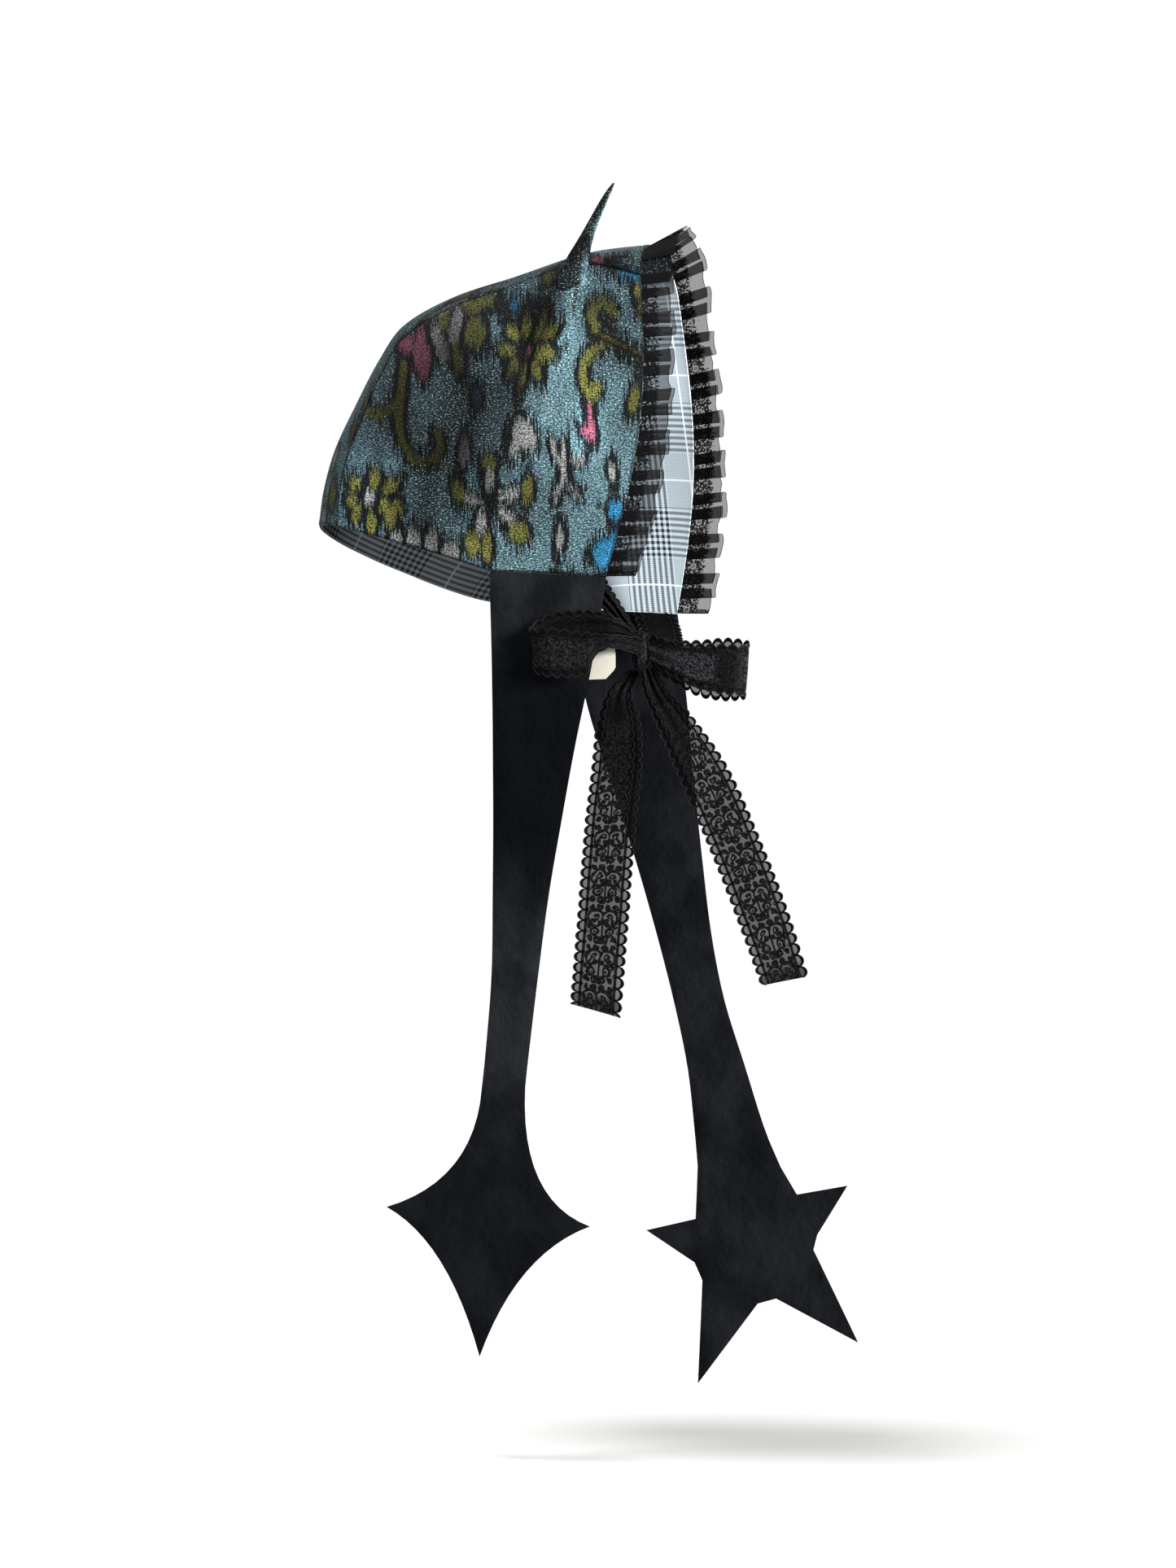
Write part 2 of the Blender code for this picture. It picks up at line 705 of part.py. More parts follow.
def main():
    """Clear the scene and build every piece."""
    for item in list(bpy.data.objects):
        bpy.data.objects.remove(item)
    make_crown()
    make_ruffle()
    make_strap("strap_right", strap_outline(STRAP_RIGHT, four_point_star(), RIGHT_ROWS), -1)
    make_strap("strap_left", strap_outline(STRAP_LEFT, five_point_star(), LEFT_ROWS), 1)
    for ribbon in RIBBONS:
        make_ribbon(*ribbon)
    make_knot()
    make_label()


main()
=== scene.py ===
"""The looks of the horned bonnet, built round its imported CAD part.

Metres, +Z up; the part's tables are in millimetres. The wearer faces -Y and the wearer's right is
-X, the side that the camera sees. Chart tables are in pixels of the 1445 x 1927 picture, where
1 pixel is 0.6 mm at the origin.
"""
import math
from collections import namedtuple

import bmesh
import bpy
import numpy as np
from mathutils import Matrix, Vector


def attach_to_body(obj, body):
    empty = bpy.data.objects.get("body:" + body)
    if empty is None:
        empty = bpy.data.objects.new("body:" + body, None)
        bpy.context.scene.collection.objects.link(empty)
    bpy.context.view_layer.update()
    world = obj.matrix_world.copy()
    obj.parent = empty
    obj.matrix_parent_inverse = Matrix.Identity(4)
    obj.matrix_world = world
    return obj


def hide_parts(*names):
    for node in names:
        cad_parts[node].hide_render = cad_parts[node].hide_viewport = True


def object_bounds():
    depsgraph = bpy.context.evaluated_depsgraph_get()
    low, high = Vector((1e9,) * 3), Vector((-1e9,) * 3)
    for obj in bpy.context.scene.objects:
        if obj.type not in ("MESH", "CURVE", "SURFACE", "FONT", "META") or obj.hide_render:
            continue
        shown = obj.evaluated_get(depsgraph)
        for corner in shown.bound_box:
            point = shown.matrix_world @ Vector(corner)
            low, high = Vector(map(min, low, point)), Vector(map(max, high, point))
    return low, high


def table(columns, *rows):
    """Rows with named columns; a row may leave out a last value of 0."""
    kind = namedtuple("Row", columns, defaults=(0,))
    return [kind(*row) for row in rows]


MM = 0.001

# Camera
PICTURE_WIDTH = 1445
PICTURE_HEIGHT = 1927
PIXEL = 0.6 * MM
DISTANCE = 2.2
AZIMUTH = math.radians(-73)
ELEVATION = math.radians(-5)
ORIGIN_COLUMN = 700
ORIGIN_ROW = 329.5
SENSOR_MM = 36

# Floor and lights
FLOOR_DROP = 0.035
FLOOR_REACH = 40
FLOOR_CORNERS = ((-1, -1), (1, -1), (1, 1), (-1, 1))
SUN_AWAY = 3
SUNS = table(
    "name azimuth elevation spread strength colour",
    ("key", -25, 10, 20, 15.5, (1, 0.98, 0.95)),
    ("top", -150, 75, 14, 3.4, (1, 1, 1)),
)

# Crown, as in the part
HALF_WIDTH = 95 * MM
FRONT_BOW = 14 * MM
FRONT_BOW_LOW = 1.15
FRONT_ROUNDING = 0.52
ROUNDING_GROWTH = 0.8
FRONT_SHOULDER = 0.10
SHOULDER_GROWTH = 1.5
WALL = 1.5 * MM
LINING_GAP = 0.4 * MM
LINING = 1.0 * MM
JOIN_GAP = 0.3 * MM
NUDGE = 0.001

CREST = table(
    "share forward up",
    (0, 68, 9), (0.13, 21, 6.5), (0.29, -35, -6), (0.43, -85, -17.5), (0.55, -125, -36), (0.63, -144, -60),
    (0.74, -163, -93), (0.84, -180, -126), (0.925, -189, -156), (1, -193, -183),
)
HEM_FRONT, HEM_BACK = table("forward up", (56, -246), (-29, -238))
NECK = table(
    "turn up",
    (-1, 0), (-0.45, 0), (-0.2, -1.5), (0, -5), (0.23, -9.5), (0.47, -13.5), (0.74, -16), (0.9, -9),
    (1, 0),
)
NECK_START = 0.5
SEAM = table(
    "share drop",
    (0, 0.13), (0.12, 0.08), (0.3, 0.075), (0.6, 0.1), (1, 0.2),
)
FOLDS = table(
    "turn_sign share drop share_reach drop_reach height",
    (-1, 0.18, 0.18, 0.05, 0.1, 4), (-1, 0.09, 0.21, 0.035, 0.08, -2.5), (-1, 0.3, 0.33, 0.04, 0.12, -3),
    (-1, 0.55, 0.62, 0.07, 0.14, 2.5), (-1, 0.8, 0.75, 0.06, 0.12, -2.5), (1, 0.2, 0.35, 0.06, 0.15, -2.5),
    (1, 0.55, 0.6, 0.08, 0.15, -3),
)

# Horn, as in the part
HORN_SHARE = 0.150
HORN_DROP = 0.125
HORN_SIDES = 48
HORN_FOOT = 1.1 * MM
HORN_END = 0.6 * MM
HORN_BEND = np.array((-59, -37, 21)) * MM
HORN_TIP = np.array((-58, -51, 43)) * MM
HORN_RINGS = table(
    "way radius lift",
    (-0.2, 17, -0.35), (-0.12, 14.5, 0.1), (-0.05, 12.3, 0.8), (0.02, 10.8, 2), (0.09, 9.4, 5),
    (0.15, 8.6, 9), (0.3, 5.5, 18), (0.5, 3.6, 30), (0.75, 2.4, 45), (0.9, 1.6, 54), (1, 0.8, 60),
)

# Ruffle, as in the part
PLEATS = 20
RUFFLE_WIDTH = 21 * MM
RUFFLE_GAP = 0.1 * MM
PLEAT_RISE = 3.4 * MM
PLEAT_EXTRA = 3 * MM
SIDE_FLARE = math.radians(5)
TOP_WIDTH = 4.5 * MM
TOP_FLARE = math.radians(18)
TOP_REACH = 0.30
CAP_START = -0.46
CAP_FULL = -0.38
CAP_FADE = -0.10
CAP_END = -0.04
HEM_CAP = 4.5 * MM
LACE_EXTRA = 4.5 * MM
LOW_EXTRA = 3 * MM
NEAR_TRIM = 1.8 * MM
ORGANZA_REPEAT = 13.5 * MM
# Half of a box pleat, from the middle of the gap before it; the other half mirrors it
PLEAT_STEPS = table(
    "place layer",
    (-0.19, 0), (-0.05, 0), (0.08, 0), (0.2, 0), (0.25, 0.15), (0.26, 0.5), (0.25, 0.85), (0.2, 1),
    (0.12, 1), (0.05, 1), (0.01, 1.12), (-0.01, 1.5), (0.01, 1.88), (0.06, 2), (0.16, 2.05), (0.26, 2.08),
    (0.31, 2.09),
)
PLEAT_MIDDLE = 0.31
PLEAT_CELLS = 60
RUFFLE_CELLS = 14

# Straps, as in the part
STRAP_WALL = 1.5 * MM
STRAP_SWAY = 2.5 * MM
STRAP_SWAYS = 1.5
SWAY_START = 0.25
STRAP_CELL = 4 * MM
STRAP_ROWS = 40
ARC_STEPS = 12
HEM_DROP = 0.75 * MM
STRAP_COLUMNS = "up rear front"
STRAP_RIGHT = table(
    STRAP_COLUMNS,
    (-600, -34, -2.5), (-579, -32, -0.5), (-523, -28, 6), (-467, -27, 14), (-410, -26, 25),
    (-360, -26, 35), (-313, -27, 45), (-255, -29, 55),
)
STRAP_LEFT = table(
    STRAP_COLUMNS,
    (-660, 70, 133), (-634, 68, 122), (-586, 63, 107), (-538, 53, 92), (-489, 40, 82), (-436, 24, 75),
    (-375, 4, 68), (-316, -15, 63), (-255, -28, 57),
)
STAR_FOUR = table(
    "bend_forward bend_up end_forward end_up",
    (-38, -664, -103, -683), (-57, -706, -35, -784), (-7, -713, 45, -694), (-5, -677, -2.5, -600),
)
STAR_FIVE = table(
    "forward up",
    (68, -699), (30, -708), (67, -731), (73, -744), (70, -819), (115, -760), (129, -756), (190, -786),
    (157, -720), (160, -709), (183, -673), (145, -680),
)

# Lace ribbons, as in the part
RIBBON_COLUMNS = "way forward_a side_a up_a forward_b side_b up_b"
TIE_RIGHT = table(
    RIBBON_COLUMNS,
    (0, 21, -92.6, -243.9, 55, -92.6, -247.1), (0.2, 29, -89.5, -250, 57, -89.5, -252),
    (0.55, 47, -83, -265, 62, -82, -263), (1, 63, -69.5, -282.2, 70, -66.5, -281.9),
)
TIE_LEFT = table(
    RIBBON_COLUMNS,
    (0, 21, 92.6, -243.9, 55, 92.6, -247.1), (0.18, 32, 72, -262, 64, 74, -262),
    (0.45, 46, 32, -281, 76, 34, -279), (0.75, 58, -12, -290, 80, -12, -288),
    (1, 66, -54.3, -289, 77, -54.3, -288),
)
LOOP_BACK = table(
    RIBBON_COLUMNS,
    (0, 75, -70.9, -288, 75, -70.9, -302), (0.08, 74, -90, -289, 74, -90, -300),
    (0.15, 62, -103, -289, 61, -103, -298), (0.19, 53, -106, -288, 51, -106, -304),
    (0.215, 47, -108, -287, 46, -108, -316), (0.25, 38, -109, -286, 38, -109, -318),
    (0.33, 18, -112, -283, 22, -112, -318), (0.42, 7, -110, -284, 11, -110, -315),
    (0.48, 4, -106, -282, 7, -106, -311), (0.54, 7, -102, -277, 9, -102, -306),
    (0.64, 20, -99.5, -271, 21, -99.5, -302), (0.76, 42, -99.5, -270, 42, -99.5, -298),
    (0.86, 60, -99.5, -274, 60, -99.5, -294), (0.92, 69, -92, -279, 69, -92, -292),
    (1, 70, -70.9, -284, 70, -70.9, -292),
)
LOOP_FRONT = table(
    RIBBON_COLUMNS,
    (0, 79.2, -67, -284, 79.2, -67, -306), (0.1, 95, -71, -290, 95, -71, -314),
    (0.2, 111, -73, -293, 110, -73, -322), (0.33, 131, -73, -294, 129, -73, -328),
    (0.44, 147, -69, -295, 144, -69, -330), (0.5, 150, -62, -293, 147, -62, -330),
    (0.56, 147, -55, -290, 144, -55, -331), (0.67, 131, -51, -287, 129, -51, -331),
    (0.8, 111, -52, -288, 110, -52, -327), (0.9, 95, -56, -288, 95, -56, -318),
    (1, 79.2, -60, -285, 79.2, -60, -308),
)
TAIL_BACK = table(
    RIBBON_COLUMNS,
    (0, 61, -60, -308.5, 71, -60, -308.5), (0.08, 48, -63, -322, 66, -63, -326),
    (0.17, 41, -66, -342, 72, -66, -343), (0.3, 38, -67, -372, 74, -67, -372),
    (0.5, 32, -66, -418, 69, -66, -419), (0.75, 26, -64, -482, 63, -64, -485),
    (1, 20, -62, -544, 57, -62, -550),
)
TAIL_FRONT = table(
    RIBBON_COLUMNS,
    (0, 73, -65, -308.3, 83, -65, -308.3), (0.08, 75, -66, -325, 93, -66, -324),
    (0.2, 86, -68, -352, 109, -68, -341), (0.38, 104, -69, -393, 136, -69, -379),
    (0.6, 124, -66, -440, 158, -66, -429), (0.8, 142, -64, -487, 176, -64, -476),
    (1, 158, -62, -532, 190, -62, -522),
)
# The two ways after seed give the stretch of painted shade along each ribbon; shine gives the strength of
# its painted highlights
LACES = table(
    "name node rows crown cut seed dark_from dark_to shine net",
    ("right_tie_lace", "lace_tie_right", TIE_RIGHT, 0.6, 0, 0.4, 0.3, 1.1, 0.6, 1),
    ("left_tie_lace", "lace_tie_left", TIE_LEFT, 0.9, 0, 1.4, 0, 0.6, 0.6, 0.95),
    ("back_loop_lace", "bow_loop_back", LOOP_BACK, 0.7, 0, 2.2, 0.45, 0.95, 0.4, 0.95),
    ("front_loop_lace", "bow_loop_front", LOOP_FRONT, 0.7, 0, 3.1, 0.31, 0.46, 2, 0.85),
    ("back_tail_lace", "bow_tail_back", TAIL_BACK, 1.2, 2, 4.6, -0.1, 0.18, 0.25, 0.87),
    ("front_tail_lace", "bow_tail_front", TAIL_FRONT, 1.2, 2, 5.2, -0.1, 0.12, 0.25, 0.87),
)
KNOT_CENTRE = np.array((-62.5, -71.3, -294.7)) * MM
KNOT_SIZE = np.array((18, 16.6, 28)) * MM

# Scalloped lace
LACE_WIDTH = 37 * MM
SCALLOP = 7.5 * MM
SCALLOP_DEPTH = 0.24
LACE_STEP = 0.9 * MM
LACE_COLUMNS = 22
CORD_RADIUS = 0.55 * MM
# The knot's weak painted light, and how close its net is
KNOT_PAINTED_SHADING_AND_NET = (0.35, 0.97, 0)
KNOT_SIDES = 96
KNOT_RINGS = 49
LACE_REPEAT = 28 * MM
# The embroidered heart and the rings beside it, in millimetres
LACE_RINGS = table(
    "along aside radius half",
    (-4.4, 5, 5.4, 1.45), (-5.2, 4.6, 1.5, 1.05), (-2.2, 6.8, 0.6, 1.2), (-1.4, 2.4, 0.9, 1.1),
    (5.2, 5.6, 2.6, 1.25), (5.4, 5.4, 0.3, 0.9), (10.6, 2.6, 1.7, 1.55), (1.8, 9.6, 0.7, 1.2),
    (10.4, 8.6, 1.1, 1.6), (-11.8, 8.8, 1.1, 1.2), (-11.8, 3, 1.4, 1.6),
)

# Label, as in the part
LABEL_FRONT = 62.5
LABEL_BACK = 43
LABEL_TOP = -252
LABEL_BOTTOM = -318
LABEL_CUT = 7
LABEL_SLANT = 17.5
LABEL_HIDDEN = -288
LABEL_SIDE = -93.2
LABEL_ROWS = 34
LABEL_COLUMNS = 14
LABEL_THICK = 0.12 * MM
# The label's two leaves: how far each is drawn in, out and up
LABEL_LEAVES = table(
    "back side up",
    (0, 0.06, 0), (1.6, 0.312, 1.5),
)

# Pattern of the ikat cloth: blobs and strokes in picture pixels, seen from the wearer's right
OLIVE, GREY, ROSE, BLUE, BLACK, SHADE = range(6)
BLOB_COLUMNS = "colour column row half_width half_height turn"
BLOBS = table(
    BLOB_COLUMNS,
    # Flower below the horn
    (SHADE, 649, 435, 34, 40), (OLIVE, 631, 409, 12, 7, 48), (OLIVE, 648, 402, 6, 13, 3),
    (OLIVE, 666, 402, 5, 18, 20), (OLIVE, 677, 410, 14, 7, -38), (OLIVE, 673, 438, 13, 8, 8),
    (OLIVE, 663, 459, 6, 13, -24), (OLIVE, 643, 465, 5, 18, 10), (OLIVE, 630, 455, 6, 13, 25),
    (OLIVE, 622, 432, 13, 6, 2), (ROSE, 651, 434, 4, 8, 30),
    # Motifs along the seam
    (OLIVE, 675, 337, 7, 11, 25), (OLIVE, 588, 372, 22, 9, -20), (OLIVE, 584, 410, 13, 19, 8),
    (OLIVE, 546, 395, 8, 9), (OLIVE, 563, 443, 6, 17, -12), (OLIVE, 523, 387, 6, 5, -30),
    (BLUE, 633, 376, 9, 5, -15), (SHADE, 607, 376, 17, 13), (SHADE, 652, 372, 20, 12, -5),
    (ROSE, 498, 422, 12, 10), (ROSE, 517, 417, 6, 11), (ROSE, 519, 440, 11, 17, 3), (ROSE, 521, 459, 5, 8),
    (SHADE, 533, 440, 5, 14), (BLUE, 586, 490, 6, 12), (SHADE, 584, 488, 9, 22, -4),
    (GREY, 571, 550, 5, 14, 4), (GREY, 571, 561, 8, 10), (SHADE, 561, 556, 3, 14, 8),
    (OLIVE, 427, 527, 6, 9), (SHADE, 424, 524, 6, 15),
    # Leaf and dots in the middle
    (GREY, 645, 536, 13, 17, -12), (GREY, 633, 556, 5, 11, 20), (GREY, 656, 548, 6, 7),
    (SHADE, 623, 537, 6, 24, 8), (SHADE, 642, 514, 9, 6), (SHADE, 651, 560, 9, 5, -15),
    (BLACK, 697, 429, 4, 7, -15), (GREY, 752, 580, 4, 10, -8), (SHADE, 745, 580, 3, 9),
    (SHADE, 758, 579, 3, 10), (GREY, 688, 662, 5, 14, 5), (SHADE, 680, 664, 3, 10),
    (SHADE, 697, 657, 3, 10), (OLIVE, 779, 491, 6, 17, 14), (SHADE, 771, 500, 5, 24, 8),
    (OLIVE, 785, 357, 7, 9), (OLIVE, 788, 380, 4, 6), (SHADE, 780, 372, 6, 18, -10),
    (ROSE, 727, 530, 5, 12, -5), (ROSE, 719, 531, 7, 5, 10), (SHADE, 719, 500, 5, 14, -12),
    (BLUE, 756, 627, 9, 11), (SHADE, 736, 621, 5, 6), (BLUE, 743, 681, 15, 18), (BLUE, 756, 666, 6, 12),
    (SHADE, 723, 681, 7, 18, 15),
    # Six-petal flower
    (OLIVE, 602, 570, 10, 8), (GREY, 603, 590, 5.5, 13), (SHADE, 592, 584, 5, 14, -15),
    (OLIVE, 563, 604, 8, 15, -12), (GREY, 579, 614, 11, 6, 22), (GREY, 593, 620, 6, 4, 22),
    (SHADE, 583, 622, 14, 4, 12), (OLIVE, 649, 603, 7, 14, 8), (GREY, 630, 607, 12, 6, -22),
    (GREY, 617, 613, 6, 4, -22), (GREY, 622, 633, 15, 6, 38), (OLIVE, 638, 655, 13, 12, 10),
    (SHADE, 622, 648, 7, 5, 30), (GREY, 592, 645, 7, 13, 10), (OLIVE, 581, 668, 10, 14, -8),
    (OLIVE, 599, 672, 6, 16), (BLACK, 607, 614, 3.5, 15),
    # Yellow flower at the neck, cut by the seam
    (GREY, 454, 612, 7, 8), (OLIVE, 460, 587, 8, 12), (OLIVE, 480, 597, 13, 6, -32),
    (OLIVE, 436, 594, 9, 7, 40), (OLIVE, 432, 615, 8, 6), (OLIVE, 438, 632, 6, 11, 20),
    (OLIVE, 457, 643, 7, 13), (OLIVE, 472, 622, 7, 8, -30), (OLIVE, 480, 638, 7, 10, -10),
    (OLIVE, 488, 622, 8, 8),
    # Petals cut by the hem
    (GREY, 486, 668, 9, 12, 20), (GREY, 508, 662, 9, 14), (GREY, 530, 666, 8, 15),
    (GREY, 553, 680, 12, 13, -10), (SHADE, 517, 662, 26, 15), (SHADE, 550, 666, 12, 7),
    # Crown band
    (ROSE, 735, 316, 9, 8), (ROSE, 765, 306, 9, 3), (BLUE, 778, 337, 22, 5, 8), (SHADE, 752, 322, 14, 8),
    (OLIVE, 700, 296, 16, 7), (GREY, 610, 318, 15, 8, -20), (OLIVE, 560, 345, 18, 8, -30),
    (ROSE, 640, 286, 10, 8), (OLIVE, 520, 300, 16, 9, -30), (GREY, 470, 350, 10, 16, 30),
    (OLIVE, 430, 420, 10, 18, 35), (GREY, 400, 470, 9, 18, 25), (GREY, 385, 560, 8, 14, 15),
    (OLIVE, 398, 610, 9, 16, 8), (GREY, 372, 640, 10, 12),
)
# Whole flowers of the band and the back, which the picture hides
FLOWERS = table(
    "colour eye column row size petals",
    (OLIVE, ROSE, 716, 238, 22, 6), (GREY, OLIVE, 640, 216, 22, 6), (ROSE, GREY, 566, 258, 18, 5),
    (OLIVE, BLUE, 500, 216, 24, 6), (BLUE, GREY, 452, 296, 16, 5), (GREY, ROSE, 392, 330, 22, 6),
    (OLIVE, GREY, 338, 262, 24, 6), (ROSE, OLIVE, 346, 420, 18, 5), (OLIVE, ROSE, 276, 400, 24, 6),
    (GREY, OLIVE, 318, 512, 22, 6), (BLUE, GREY, 350, 596, 16, 5), (OLIVE, GREY, 268, 590, 22, 6),
    (GREY, OLIVE, 420, 722, 20, 6), (OLIVE, ROSE, 560, 728, 22, 6), (GREY, OLIVE, 690, 724, 18, 5),
)
STROKES = table(
    "colour radius points",
    # Scroll beside the ruffle
    (OLIVE, 6, ((755, 384), (748, 375), (739, 372), (730, 377), (726, 386), (728, 397), (733, 406))),
    (SHADE, 15, ((735, 408), (747, 418), (760, 426), (775, 433), (796, 441))),
    (OLIVE, 3, ((742, 414), (760, 423), (776, 430), (792, 437))),
    (OLIVE, 6, ((740, 431), (731, 434), (724, 441))),
    (OLIVE, 4.5, ((718, 450), (717, 466), (721, 480), (728, 491))), (OLIVE, 8, ((732, 482), (734, 480))),
    (SHADE, 3, ((713, 448), (712, 470), (716, 488))), (ROSE, 2.5, ((725, 498), (726, 516))),
    # Hook scroll at the back
    (OLIVE, 4.5, ((496, 446), (491, 497), (490, 525), (495, 546), (505, 561))),
    (OLIVE, 4.5, ((505, 561), (519, 570), (532, 567), (541, 553), (542, 540), (536, 531))),
    (SHADE, 4, ((500, 446), (497, 500), (497, 540))), (SHADE, 3, ((528, 524), (529, 546))),
    (OLIVE, 3.5, ((449, 478), (443, 494))),
    (OLIVE, 5.5, ((444, 497), (449, 506), (460, 509), (473, 507), (487, 498))),
    (GREY, 5, ((570, 366), (555, 372), (542, 380), (529, 386))),
    (GREY, 6.5, ((563, 388), (560, 402), (557, 417))), (GREY, 6.5, ((535, 407), (540, 422), (547, 437))),
    # White branch, split by dark threads
    (GREY, 2.8, ((679, 545), (683, 560), (690, 572), (694, 582), (691, 596), (684, 607), (682, 616))),
    (GREY, 2.5, ((693, 546), (694, 575))), (GREY, 4, ((703, 567), (717, 566))),
    (GREY, 2.5, ((696, 592), (705, 602), (714, 612))), (BLACK, 1.6, ((675, 533), (676, 552), (679, 572))),
    (BLACK, 1.8, ((700, 518), (699, 545), (699, 568))), (BLACK, 2, ((687, 575), (687, 592))),
    (BLACK, 1.8, ((681, 594), (677, 612), (677, 628))), (BLACK, 2.5, ((722, 561), (722, 572))),
    (BLACK, 2.5, ((702, 578), (703, 590))), (BLACK, 1.5, ((692, 600), (692, 613))),
    (BLACK, 1.5, ((704, 594), (712, 606), (718, 616))), (BLACK, 1.6, ((706, 506), (707, 520), (711, 531))),
    (BLACK, 2.1, ((718, 328), (712, 342), (708, 357), (705, 374), (704, 388))),
    (BLACK, 2, ((606, 600), (607, 618), (603, 640))),
    (BLACK, 2.4, ((570, 620), (588, 624), (606, 618), (624, 618), (640, 614))),
    (BLACK, 1.8, ((586, 604), (600, 612), (612, 624), (632, 626))),
    (BLACK, 1.8, ((613, 600), (610, 612), (612, 636), (620, 650))), (BLACK, 1.6, ((582, 634), (594, 628))),
    # Creases through the flower
    (BLACK, 1.2, ((676, 374), (662, 404), (654, 428), (640, 452))),
    (BLACK, 1, ((663, 384), (655, 402), (652, 418))), (BLACK, 1, ((650, 440), (641, 462), (637, 486))),
)
# Painted light and shade: patches where the cloth is drawn darker or lighter to stand in for how light falls
# on it
SHADES = table(
    "column row half_width half_height change turn",
    (585, 480, 62, 120, -0.74, 12), (562, 535, 50, 85, -0.68, 14), (520, 612, 32, 60, -0.78, 8),
    (468, 666, 44, 18, 0.95, 16), (480, 400, 60, 60, -0.2, -40), (497, 510, 34, 60, -0.35),
    (610, 360, 60, 30, -0.2, -20), (684, 330, 16, 40, -0.5, 16), (664, 392, 20, 34, -0.62, 16),
    (768, 392, 55, 52, -0.58), (782, 460, 24, 50, -0.35), (668, 450, 22, 90, 0.35, 16),
    (694, 438, 17, 40, 0.35, 8), (722, 374, 16, 34, -0.52, 8), (736, 372, 22, 16, -0.3),
    (549, 622, 20, 60, -0.32), (592, 520, 26, 70, -0.28), (548, 452, 22, 64, -0.45, 5),
    (480, 538, 46, 36, -0.4), (636, 474, 20, 40, -0.45), (760, 438, 26, 26, -0.4),
    (765, 520, 30, 34, -0.3), (662, 645, 36, 36, -0.24), (655, 380, 40, 30, -0.2),
    (694, 395, 14, 26, -0.3, 10), (549, 430, 20, 30, -0.3), (665, 412, 16, 24, -0.35),
    (766, 436, 30, 20, -0.3), (578, 480, 16, 40, -0.28), (491, 490, 20, 50, -0.24),
    (445, 530, 34, 24, -0.22), (430, 606, 30, 14, 0.25), (455, 668, 40, 12, 0.35, 16),
    (549, 655, 18, 26, -0.25), (752, 694, 22, 14, 0.4), (665, 515, 16, 14, 0.3),
    (700, 350, 8, 22, 0.55, 12), (455, 680, 60, 12, 0.45, 16), (520, 692, 24, 12, 0.4),
    (723, 530, 16, 34, 0.22), (640, 460, 24, 20, -0.3), (491, 500, 18, 30, -0.1), (491, 432, 16, 14, 0.4),
    (722, 470, 14, 80, 0.12), (735, 640, 16, 50, -0.25), (618, 576, 20, 22, -0.3),
    (722, 536, 24, 36, 0.65), (712, 372, 14, 46, 0.15, 10), (685, 358, 15, 27, -0.68, 16),
    (752, 640, 26, 60, 0.4), (450, 604, 44, 50, 0.9), (660, 604, 26, 26, -0.3), (690, 620, 40, 60, -0.2),
    (400, 600, 16, 90, -0.35, 10), (628, 470, 24, 60, -0.35, 6), (490, 470, 60, 40, -0.3),
    (629, 430, 17, 40, 1.2), (562, 500, 20, 40, -0.2),
)
# Petals and eyes of the whole flowers, as shares of their size
PETAL_REACH = 0.62
PETAL_WIDTH = 0.24
PETAL_LENGTH = 0.38
FIRST_PETAL = 0.4
EYE_SIZE = 0.2
# Feathered edges of the motifs, in pixels
FIELD_REACH = 24
SLIP = 8
LONG_SLIP = 13
OUTLINE = 6.5
# Where the far panel lies on the chart
FAR_FLIP = 1146
FAR_SHIFT = 34

# Cells of the crown's cloths
NEAR_CELLS = 198
FAR_CELLS = 150
BAND_ROWS = 150
BAND_COLUMNS = 56
LINING_ROWS = 90
LINING_COLUMNS = 150

# Rounding, puckers and painted shade of the crown's cloth
EDGE_ROUND = 1.8 * MM
EDGE_SHADE = 0.25
BAND_PAINTED_SHADE = 0.6
PUCKER_HEIGHT = 0.28 * MM
PUCKER_LENGTH = 2.6 * MM
PUCKER_REACH = 5 * MM

# Plaid lining
PLAID_ACROSS = -2 * MM
PLAID_UP = 41.5 * MM
PLAID_LEAN = 0.33
PLAID_BEND = 0.00085 / MM
PLAID_TOP = 200 * MM
# The facing at the neck edge, cut along the edge
NECK_FACING = 0.78
NECK_GROUP = 34 * MM

# Broad ridge that runs down the near panel from the horn
RIDGE = table(
    "row column height",
    (350, 700, 1), (400, 690, 4), (450, 672, 6.5), (500, 650, 7), (560, 626, 5), (620, 606, 2),
)
RIDGE_FRONT = 75
RIDGE_BACK = 42
RIDGE_FADE = 40

# Creases of the near panel: picture pixels, width in pixels and height in millimetres
CREASES = table(
    "radius height points",
    (2.6, -1.3, ((721, 336), (713, 352), (707, 370), (704, 392))),
    (7, 1.6, ((712, 345), (700, 372), (696, 410))),
    (2.6, -1, ((690, 352), (672, 392), (655, 440), (643, 490))),
    (2.4, -0.8, ((680, 350), (660, 388), (645, 430), (636, 470))),
    (9, 1.2, ((690, 400), (680, 450), (668, 520))),
)


def mix(low, high, share):
    """The value that lies a share of the way from low to high."""
    return low + (high - low) * share


def smooth(low, high, value):
    """0 below low, 1 above high, and a soft step between."""
    share = np.clip((value - low) / (high - low), 0, 1)
    return share * share * (3 - 2 * share)


def unit(vectors):
    """The vectors at length 1."""
    return vectors / np.linalg.norm(vectors, axis=-1, keepdims=True)


def ripple(value, seed, waves=4):
    """A soft irregular wave between about -1 and 1; the seed picks which one."""
    total = np.zeros_like(value)
    for wave in range(waves):
        total += math.cos(seed + wave) * np.sin(value * (1 + 0.73 * wave) + seed * (wave + 1.7))
    return total / math.sqrt(waves)


def direction(azimuth, elevation):
    """The direction at an azimuth, from -Y towards +X, and an elevation."""
    level = math.cos(elevation)
    return math.sin(azimuth) * level, -math.cos(azimuth) * level, math.sin(elevation)


